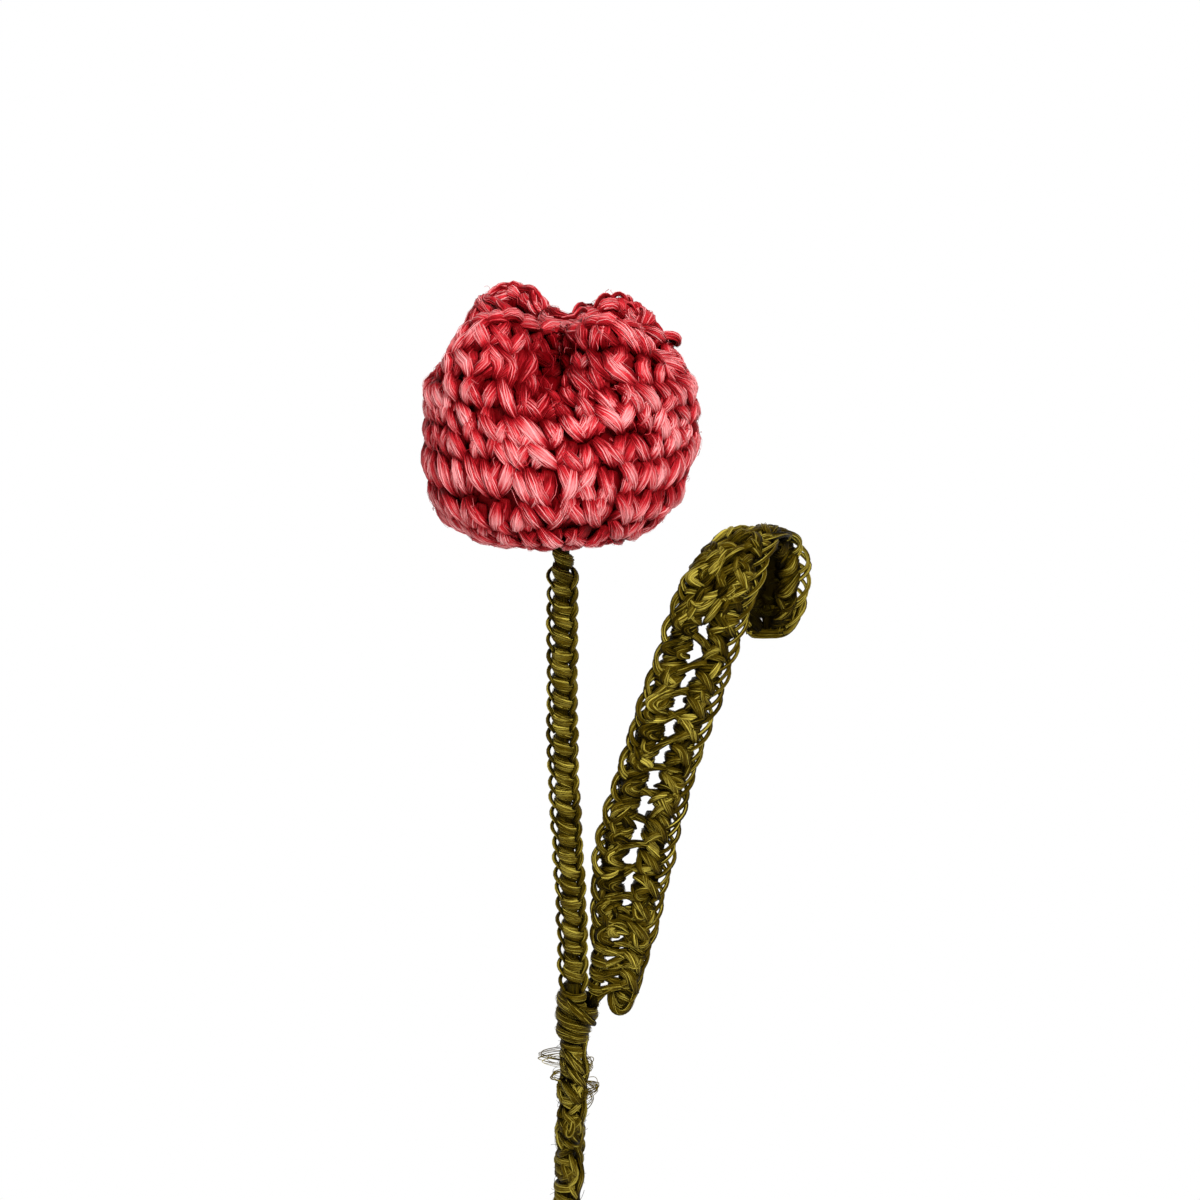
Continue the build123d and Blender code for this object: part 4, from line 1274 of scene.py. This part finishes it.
def round_of_stitches(first_round, rng):
    """One round: as many stitches as its length holds, each with a long leg down to the right and a
    short leg down to the left, and behind them the strand that goes on to the next stitch. A leg is
    pointed and deep at its foot, where both meet in a hole, bulges out like a petal and goes in again
    under the next round. No two stitches are quite alike."""
    count, place, start, tall = stitch_places(first_round)
    shape = place.shape
    share = np.linspace(0, 1, STITCH_POINTS)
    petal = 0.26 + 0.74 * np.sin(np.pi * (0.02 + LEG_ARCH * share)) ** 0.8
    place = place + rng.normal(0, 0.17, shape)
    wave = np.sin(2 * np.pi * (ROUND_WAVES * place / count + ROUND_WAVE_SHIFT * first_round))
    rise = start + tall * (ROUND_WAVE * wave + rng.normal(0, 0.13, shape))
    skins = []
    for leg, low, high, foot, head, lift, depth in LEGS:
        fullness = rng.uniform(*LEG_FULLNESS, shape)
        sunk = rng.uniform(*FOOT_SUNK, shape)
        rounds = rise + tall * (low + (high - low) * share + rng.normal(0, 0.07, shape))
        sway = rng.normal(0, 0.15, (len(place), 2)) @ np.stack([share, 1 - share])
        lean = foot + (head - foot) * share + sway
        bow = rng.normal(0.06, 0.06, shape) * np.sin(np.pi * share)
        around = (place + lean + bow) / count
        off = -sunk + (sunk + lift + rng.normal(0, 0.25, shape)) * np.sin(np.pi * LEG_ARCH * share) ** 0.9
        off = off - BASE_SUNK * np.clip(1 - rounds / BASE_SUNK_ROUNDS, 0, 1)
        off = off + SHOULDER_FULLNESS * np.exp(-2 * (rounds - SHOULDER_ROUND) ** 2)
        fold = front_fold(rounds, on_cup(rounds, around)[0])
        paths, out = on_cup(rounds, around, off - FRONT_FOLD_DEPTH * fold)
        # Painted shading: each leg is lighter at its middle, where it bulges out, and darker at its ends, and
        # the strand behind the legs is painted darker as it lies in their shade.
        tone = rng.normal(0.0, 0.08, shape) + LEG_TONE - depth + LEG_PAINTED_SHADING * np.sin(np.pi * share) ** 2
        # Painted shade: yarn deep in the folds is painted darker, and the middle of the front fold gets a
        # painted shadow.
        tone = tone - FOLD_PAINTED_SHADE * fold_depth(rounds, paths) - FRONT_FOLD_PAINTED_SHADE * fold
        swell = petal * fullness
        skins.append(bundle(paths, out, rng=rng, spread=LEG_SPREAD, swell=swell, tone=tone, **leg))
    return joined(*skins)


def rim_chain(rng):
    """The last round's top: a chain of links along the rim, each with an outer and an inner leg that
    part from the link before and meet under the next, so that they lie like a plait. Over the back
    petals thin strands arch above the chain, and two thicker strands run round the edge of each like a
    handle."""
    share = np.linspace(0, 1, STITCH_POINTS)
    place = np.arange(FULL_ROUND)[:, None] + rng.normal(0, 0.2, (FULL_ROUND, 1))
    around = (place - 0.25 + RIM_LAP * share) / FULL_ROUND
    bow = np.sin(np.pi * share) ** 0.8
    swell = 0.45 + 0.55 * np.sin(np.pi * share) ** 0.7
    middle = LINING_MIDDLE + CHAIN_OUT
    skins = []
    for face in (1, -1):
        off = middle + face * (0.2 - 1.3 * share + 1.5 * bow) * rng.uniform(0.8, 1.15, place.shape)
        lift = -RIM_SUNK + (RIM_RISE + rng.normal(0, 0.55, place.shape)) * bow
        paths, out = on_cup(LAST_ROUND, around, off)
        paths[..., 2] += lift
        facing = 0.7 * face * out + np.array([0, 0, 1.0])
        tone = rng.normal(0.14, 0.1, place.shape)
        skins.append(bundle(paths, facing, rng=rng, swell=swell, tone=tone, **RIM_LEG))
    start = on_cup(LAST_ROUND, place / FULL_ROUND, middle)[0]
    back = start[:, 0, 1] > BACK_PETALS
    around = (place[back] + 0.1 + 1.2 * share) / FULL_ROUND
    shape = (back.sum(), 1)
    paths, out = on_cup(LAST_ROUND, around, middle + rng.normal(0, 0.5, shape))
    paths[..., 2] += 0.1 + (rng.uniform(0.8, 1.7, shape) + 0.9 * (start[back, :, 0] > 0)) * bow
    skins.append(bundle(paths, out + np.array([0, 0, 1.0]), rng=rng, **ARCH))
    share = np.linspace(0, 1, EAR_POINTS)[None]
    for first, last, lift in EARS:
        around = np.repeat(first + (last - first) * share, 2, axis=0)
        paths, out = on_cup(LAST_ROUND, around, middle + wander(around, 0.7, 0.07, rng, 2))
        paths[..., 2] += np.interp(share, *lift) + wander(around, 0.4, 0.05, rng, 2)
        skins.append(bundle(paths, 0.5 * out + np.array([0, 0, 1.0]), rng=rng, twist=6.0, waves=4, **EAR))
    return joined(*skins)


def inner_strands(rng):
    """What shows down a petal's opening: the last rounds from behind, strands that run up and down the
    inside, painted very dark as the shade inside the flower and a little lighter near their tops."""
    share = np.linspace(0, 1, STITCH_POINTS)
    place = np.arange(2 * FULL_ROUND)[:, None] / 2 + rng.normal(0, 0.15, (2 * FULL_ROUND, 1))
    around = (place + rng.normal(0, 0.35, place.shape) * (share - 0.5)) / FULL_ROUND
    off = INNER_OFF - INNER_BULGE * np.sin(np.pi * share)
    paths, out = on_cup(INNER_FOOT + INNER_RISE * share, around, off)
    tone = INNER_PAINTED_SHADE[0] + INNER_PAINTED_SHADE[1] * share ** 4
    return bundle(paths, -out, rng=rng, tone=tone, **INNER)


def lining():
    """The crochet's inside: one closed wall that goes up the inside from the base, over the rim and down
    behind the stitches, with a low wave for each round and stitch on its inner face. It is painted dark as
    the shade that shows between the stitches."""
    rounds = np.linspace(-BASE_ROUNDS + 0.1, LAST_ROUND, LINING_GRID[0])[:, None]
    around = np.linspace(0, 1, LINING_GRID[1], endpoint=False)[None]
    wave = LINING_WAVE * np.cos(2 * np.pi * rounds) * np.cos(2 * np.pi * FULL_ROUND * around)
    inner = on_cup(rounds, around, LINING_IN + wave)[0]
    outer = on_cup(rounds, around, LINING_OUT)[0]
    rings = np.concatenate([inner, outer[::-1]])[None]
    return ring_stacks(rings, np.full(rings.shape[:2], LINING_PAINTED_SHADE))


def flyaways(rng):
    """Single fibres that have come loose: each leaves the surface at a stitch, arches away from it and
    comes back or ends free."""
    share = np.linspace(0, 1, 14)
    start = rng.uniform(*FLYAWAY_ROUNDS, (FLYAWAYS, 1))
    curl = np.sin(2 * np.pi * share * rng.uniform(0.7, 1.8, start.shape) + rng.uniform(0, 6.3, start.shape))
    rounds = start + rng.normal(0, 0.45, start.shape) * share + 0.06 * curl
    around = rng.uniform(0, 1, start.shape) + rng.normal(0, 0.015, start.shape) * share - 0.0015 * curl
    arch = rng.uniform(*FLYAWAY_ARCH, start.shape)
    off = FLYAWAY_ROOT + arch * np.sin(np.pi * share * rng.uniform(0.4, 1.0, start.shape))
    paths, out = on_cup(rounds, around, off)
    shade = rng.uniform(*FLYAWAY_SHADES, start.shape)
    return strands(paths, out, FLYAWAY_R * rng.uniform(*FLYAWAY_SIZES, start.shape), shade)


def rim_frizz(rng):
    """Short single fibres that stand up from the rim, each leaning and curling its own way."""
    share = np.linspace(0, 1, 10)
    start = rng.uniform(0, 1, (RIM_FRIZZ, 1))
    curl = np.sin(2 * np.pi * share * rng.uniform(0.5, 1.4, start.shape) + rng.uniform(0, 6.3, start.shape))
    around = start + rng.normal(0, 0.014, start.shape) * share + 0.003 * curl
    off = LINING_MIDDLE + rng.normal(0, 1.0, start.shape)
    off = off + rng.normal(0, 1.2, start.shape) * share
    paths, out = on_cup(LAST_ROUND, around, off)
    height = rng.uniform(*RIM_FRIZZ_HEIGHT, start.shape)
    paths[..., 2] += height * np.sin(np.pi * share * rng.uniform(0.4, 1.0, start.shape))
    radius = FLYAWAY_R * rng.uniform(*FLYAWAY_SIZES, start.shape)
    return strands(paths, out, radius, rng.uniform(*FLYAWAY_SHADES, start.shape))


def loose_loop(rng):
    """One loop pulled loose at the right of the back petal: it leaves its stitch, bows out and goes back
    in below."""
    share = np.linspace(0, 1, CHAIN_POINTS)[None]
    off = -LOOSE_DEPTH + LOOSE_REACH * np.sin(np.pi * share) ** 0.7
    paths, out = on_cup(LOOSE_ROUND - LOOSE_DROP * share, LOOSE_AROUND + LOOSE_DRIFT * share, off)
    return bundle(paths, out, rng=rng, twist=2.0, tone=0.1, **LOOSE)


red = dyed_fibre("red_fibre", RED_DEEP, RED_MIDDLE, RED_PALE, RED_GLOSS)
rng = np.random.default_rng(15)
cup_lining = new_piece("flower_lining", lining(), red)
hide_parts("flower_cup")
cup_pieces = [cup_lining]
for name, rounds in (
    ("flower_base_rounds", range(-BASE_ROUNDS, 1)),
    ("flower_lower_rounds", range(1, 3)),
    ("flower_belly_rounds", range(3, 5)),
    ("flower_shoulder_rounds", range(5, 7)),
    ("flower_petal_rounds", range(7, 8)),
    ("flower_top_rounds", range(8, LAST_ROUND)),
):
    cup_pieces.append(new_piece(name, joined(*[round_of_stitches(first, rng) for first in rounds]), red))
rim = rim_chain(rng)
inner = inner_strands(rng)
loose_ends = joined(flyaways(rng), rim_frizz(rng), loose_loop(rng))
cup_pieces.append(new_piece("flower_rim_chain", joined(rim, inner, loose_ends), red))
for piece in cup_pieces:
    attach(piece, "head")

# The filling: a handful of the same red fibre, pressed into the bag up to the folds, that keeps the flower
# round. It shows only down the petals' openings.
FILLING_GAP = 0.95
FILLING_CROWN = 1.5
FILLING_SHADE = 0.15
FILLING_LUMPS = ((0.25, 9, 44), (0.2, 5, -62))
FILLING_TOP = 6.2
FILLING_GRID = (60, 160)
FILLING_DOME = 12


def filling():
    """A lumpy mass inside the lining: the flower's rows drawn in by the wall's thickness, closed by rows
    that shrink towards the middle at the top, with lumps from three waves."""
    rounds = np.linspace(FILLING_TOP, -BASE_ROUNDS + 0.6, FILLING_GRID[0])[:, None]
    around = np.linspace(0, 1, FILLING_GRID[1], endpoint=False)[None]
    lump = sum(
        size * np.sin(up * rounds + turns * np.pi * around) for size, up, turns in FILLING_LUMPS
    )
    wall = on_cup(rounds, around, LINING_IN - FILLING_GAP + lump)[0]
    middle = wall[:1].mean(axis=1, keepdims=True) + np.array([0, 0, FILLING_CROWN])
    shrink = np.linspace(0.04, 0.92, FILLING_DOME)[:, None, None]
    dome = middle + (wall[:1] - middle) * shrink
    dome[..., 2] += 0.6 * np.sin(11 * dome[..., 0] / 3) * np.cos(dome[..., 1] * 1.3)
    foot = wall[-1:].mean(axis=1, keepdims=True)
    base = foot + (wall[-1:] - foot) * np.array([0.6, 0.2])[:, None, None]
    rings = np.concatenate([dome, wall, base])[None]
    return ring_stacks(rings, np.full(rings.shape[:2], FILLING_SHADE))


stuffing = new_piece("flower_filling", filling(), red)
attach(stuffing, "head")
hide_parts("cup_stuffing")

# The closing stitch: two crossed strands of the red yarn from fold to fold, which pull the four folds
# together. It lies deep between the petals.
CLOSING_LOW = np.array(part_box("closing_stitch")[0]) / MM
CLOSING_HIGH = np.array(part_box("closing_stitch")[1]) / MM
CLOSING_REACH = 7.0
CLOSING = {"half_width": 0.85, "half_depth": 0.8, "count": 7, "fibre": 0.3}


def closing_strands(rng):
    """Two straight strands through the middle of the stitch's box, one from side to side and above it
    one from front to back. They end in the folds' yarn, which hides the rest."""
    share = np.linspace(0, 1, STITCH_POINTS)[:, None]
    middle = (CLOSING_LOW + CLOSING_HIGH) / 2
    lift = np.array([0, 0, (CLOSING_HIGH - CLOSING_LOW)[2] / 2 - CLOSING["half_depth"]])
    one = middle - lift + (2 * share - 1) * CLOSING_REACH * np.array([1, 0, 0])
    other = middle + lift + (2 * share - 1) * CLOSING_REACH * np.array([0, 1, 0])
    return bundle(np.stack([one, other]), np.array([0.0, 0, 1]), rng=rng, **CLOSING)


rng = np.random.default_rng(16)
closing = new_piece("closing_strands", closing_strands(rng), red)
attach(closing, "head")
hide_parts("closing_stitch")

# The studio: a pale floor under the flower's foot that turns to plain white away from it, a soft lamp above
# the front right, a weaker one at the left, and a white room.
FLOOR_SIZE = 3.0
FLOOR_STEPS = 24
SHADOW_REACH = (0.10, 0.26)
FLOOR_COLOUR = (0.85, 0.85, 0.84, 1)
WHITE = (1, 1, 1, 1)
ROOM_LIGHT = 0.2
LAMPS = (("key_lamp", (0.3, -0.8, 0.95), 0.35, 21.0), ("fill_lamp", (-0.8, -0.6, 0.5), 0.5, 4.0))
LAMP_TARGET = np.array([0.005, 0.0, 0.24])
CAMERA_PLACE = (0.0077, -0.7112, 0.4413)
CAMERA_TILT = np.radians(90 - 14)
LENS = 100
SENSOR = 36


def seen_directly(start):
    """One for the rays that the eye, a mirror or a glass sees, and none for the rays that light the
    object."""
    camera = start.node("ShaderNodeLightPath", {}, {}, "Is Camera Ray")
    glossy = start.node("ShaderNodeLightPath", {}, {}, "Is Glossy Ray")
    through = start.node("ShaderNodeLightPath", {}, {}, "Is Transmission Ray")
    return start.math("MAXIMUM", start.math("MAXIMUM", camera, glossy), through)


def floor_paper():
    """Matt paper that takes the shadow near the foot, and plain white further out where it is seen
    directly."""
    material, start = new_material("floor_paper")
    place = start.node("ShaderNodeTexCoord", {}, {}, "Object")
    far = start.node("ShaderNodeVectorMath", {"operation": "LENGTH"}, {0: place}, "Value")
    fade = start.node("ShaderNodeMapRange", {"interpolation_type": "SMOOTHSTEP"}, {
        "Value": far, "From Min": SHADOW_REACH[0], "From Max": SHADOW_REACH[1],
    })
    paper = start.node("ShaderNodeBsdfDiffuse", {}, {"Color": FLOOR_COLOUR})
    white = start.node("ShaderNodeEmission", {}, {"Color": WHITE, "Strength": 1.0})
    mixed = start.node("ShaderNodeMixShader", {}, {0: fade * seen_directly(start), 1: paper, 2: white})
    start.node("ShaderNodeOutputMaterial", {}, {"Surface": mixed})
    return material


def floor_sheet():
    """A flat square grid at the height of the flower's foot."""
    line = np.linspace(-FLOOR_SIZE / 2, FLOOR_SIZE / 2, FLOOR_STEPS)
    x, y = np.meshgrid(line, line)
    points = np.stack([x, y, 0 * x], axis=-1).reshape(-1, 3)
    index = np.arange(FLOOR_STEPS ** 2).reshape(FLOOR_STEPS, FLOOR_STEPS)
    quads = np.stack([index[:-1, :-1], index[:-1, 1:], index[1:, 1:], index[1:, :-1]], axis=-1).reshape(-1, 4)
    return points / MM, quads, points[quads][..., :2], np.ones(len(points))


floor = new_piece("floor", floor_sheet(), floor_paper())

world = bpy.data.worlds.new("white_room")
bpy.context.scene.world = world
world.use_nodes = True
world.node_tree.nodes.clear()
room = Value(world.node_tree)
light = room.node("ShaderNodeBackground", {}, {"Color": WHITE, "Strength": ROOM_LIGHT})
backdrop = room.node("ShaderNodeBackground", {}, {"Color": WHITE, "Strength": 1.0})
shown = room.node("ShaderNodeMixShader", {}, {0: seen_directly(room), 1: light, 2: backdrop})
room.node("ShaderNodeOutputWorld", {}, {"Surface": shown})

for name, place, size, power in LAMPS:
    lamp = bpy.data.lights.new(name, "AREA")
    lamp.size = size
    lamp.energy = power
    holder = bpy.data.objects.new(name, lamp)
    holder.location = place
    aim = LAMP_TARGET - np.array(place)
    holder.rotation_euler = (np.arctan2(np.hypot(aim[0], aim[1]), -aim[2]), 0, np.arctan2(-aim[0], aim[1]))
    bpy.context.collection.objects.link(holder)

camera = bpy.data.cameras.new("camera")
camera.lens = LENS
camera.sensor_width = SENSOR
eye = bpy.data.objects.new("camera", camera)
eye.location = CAMERA_PLACE
eye.rotation_euler = (CAMERA_TILT, 0, 0)
bpy.context.collection.objects.link(eye)
bpy.context.scene.camera = eye
bpy.context.scene.view_settings.view_transform = "Standard"
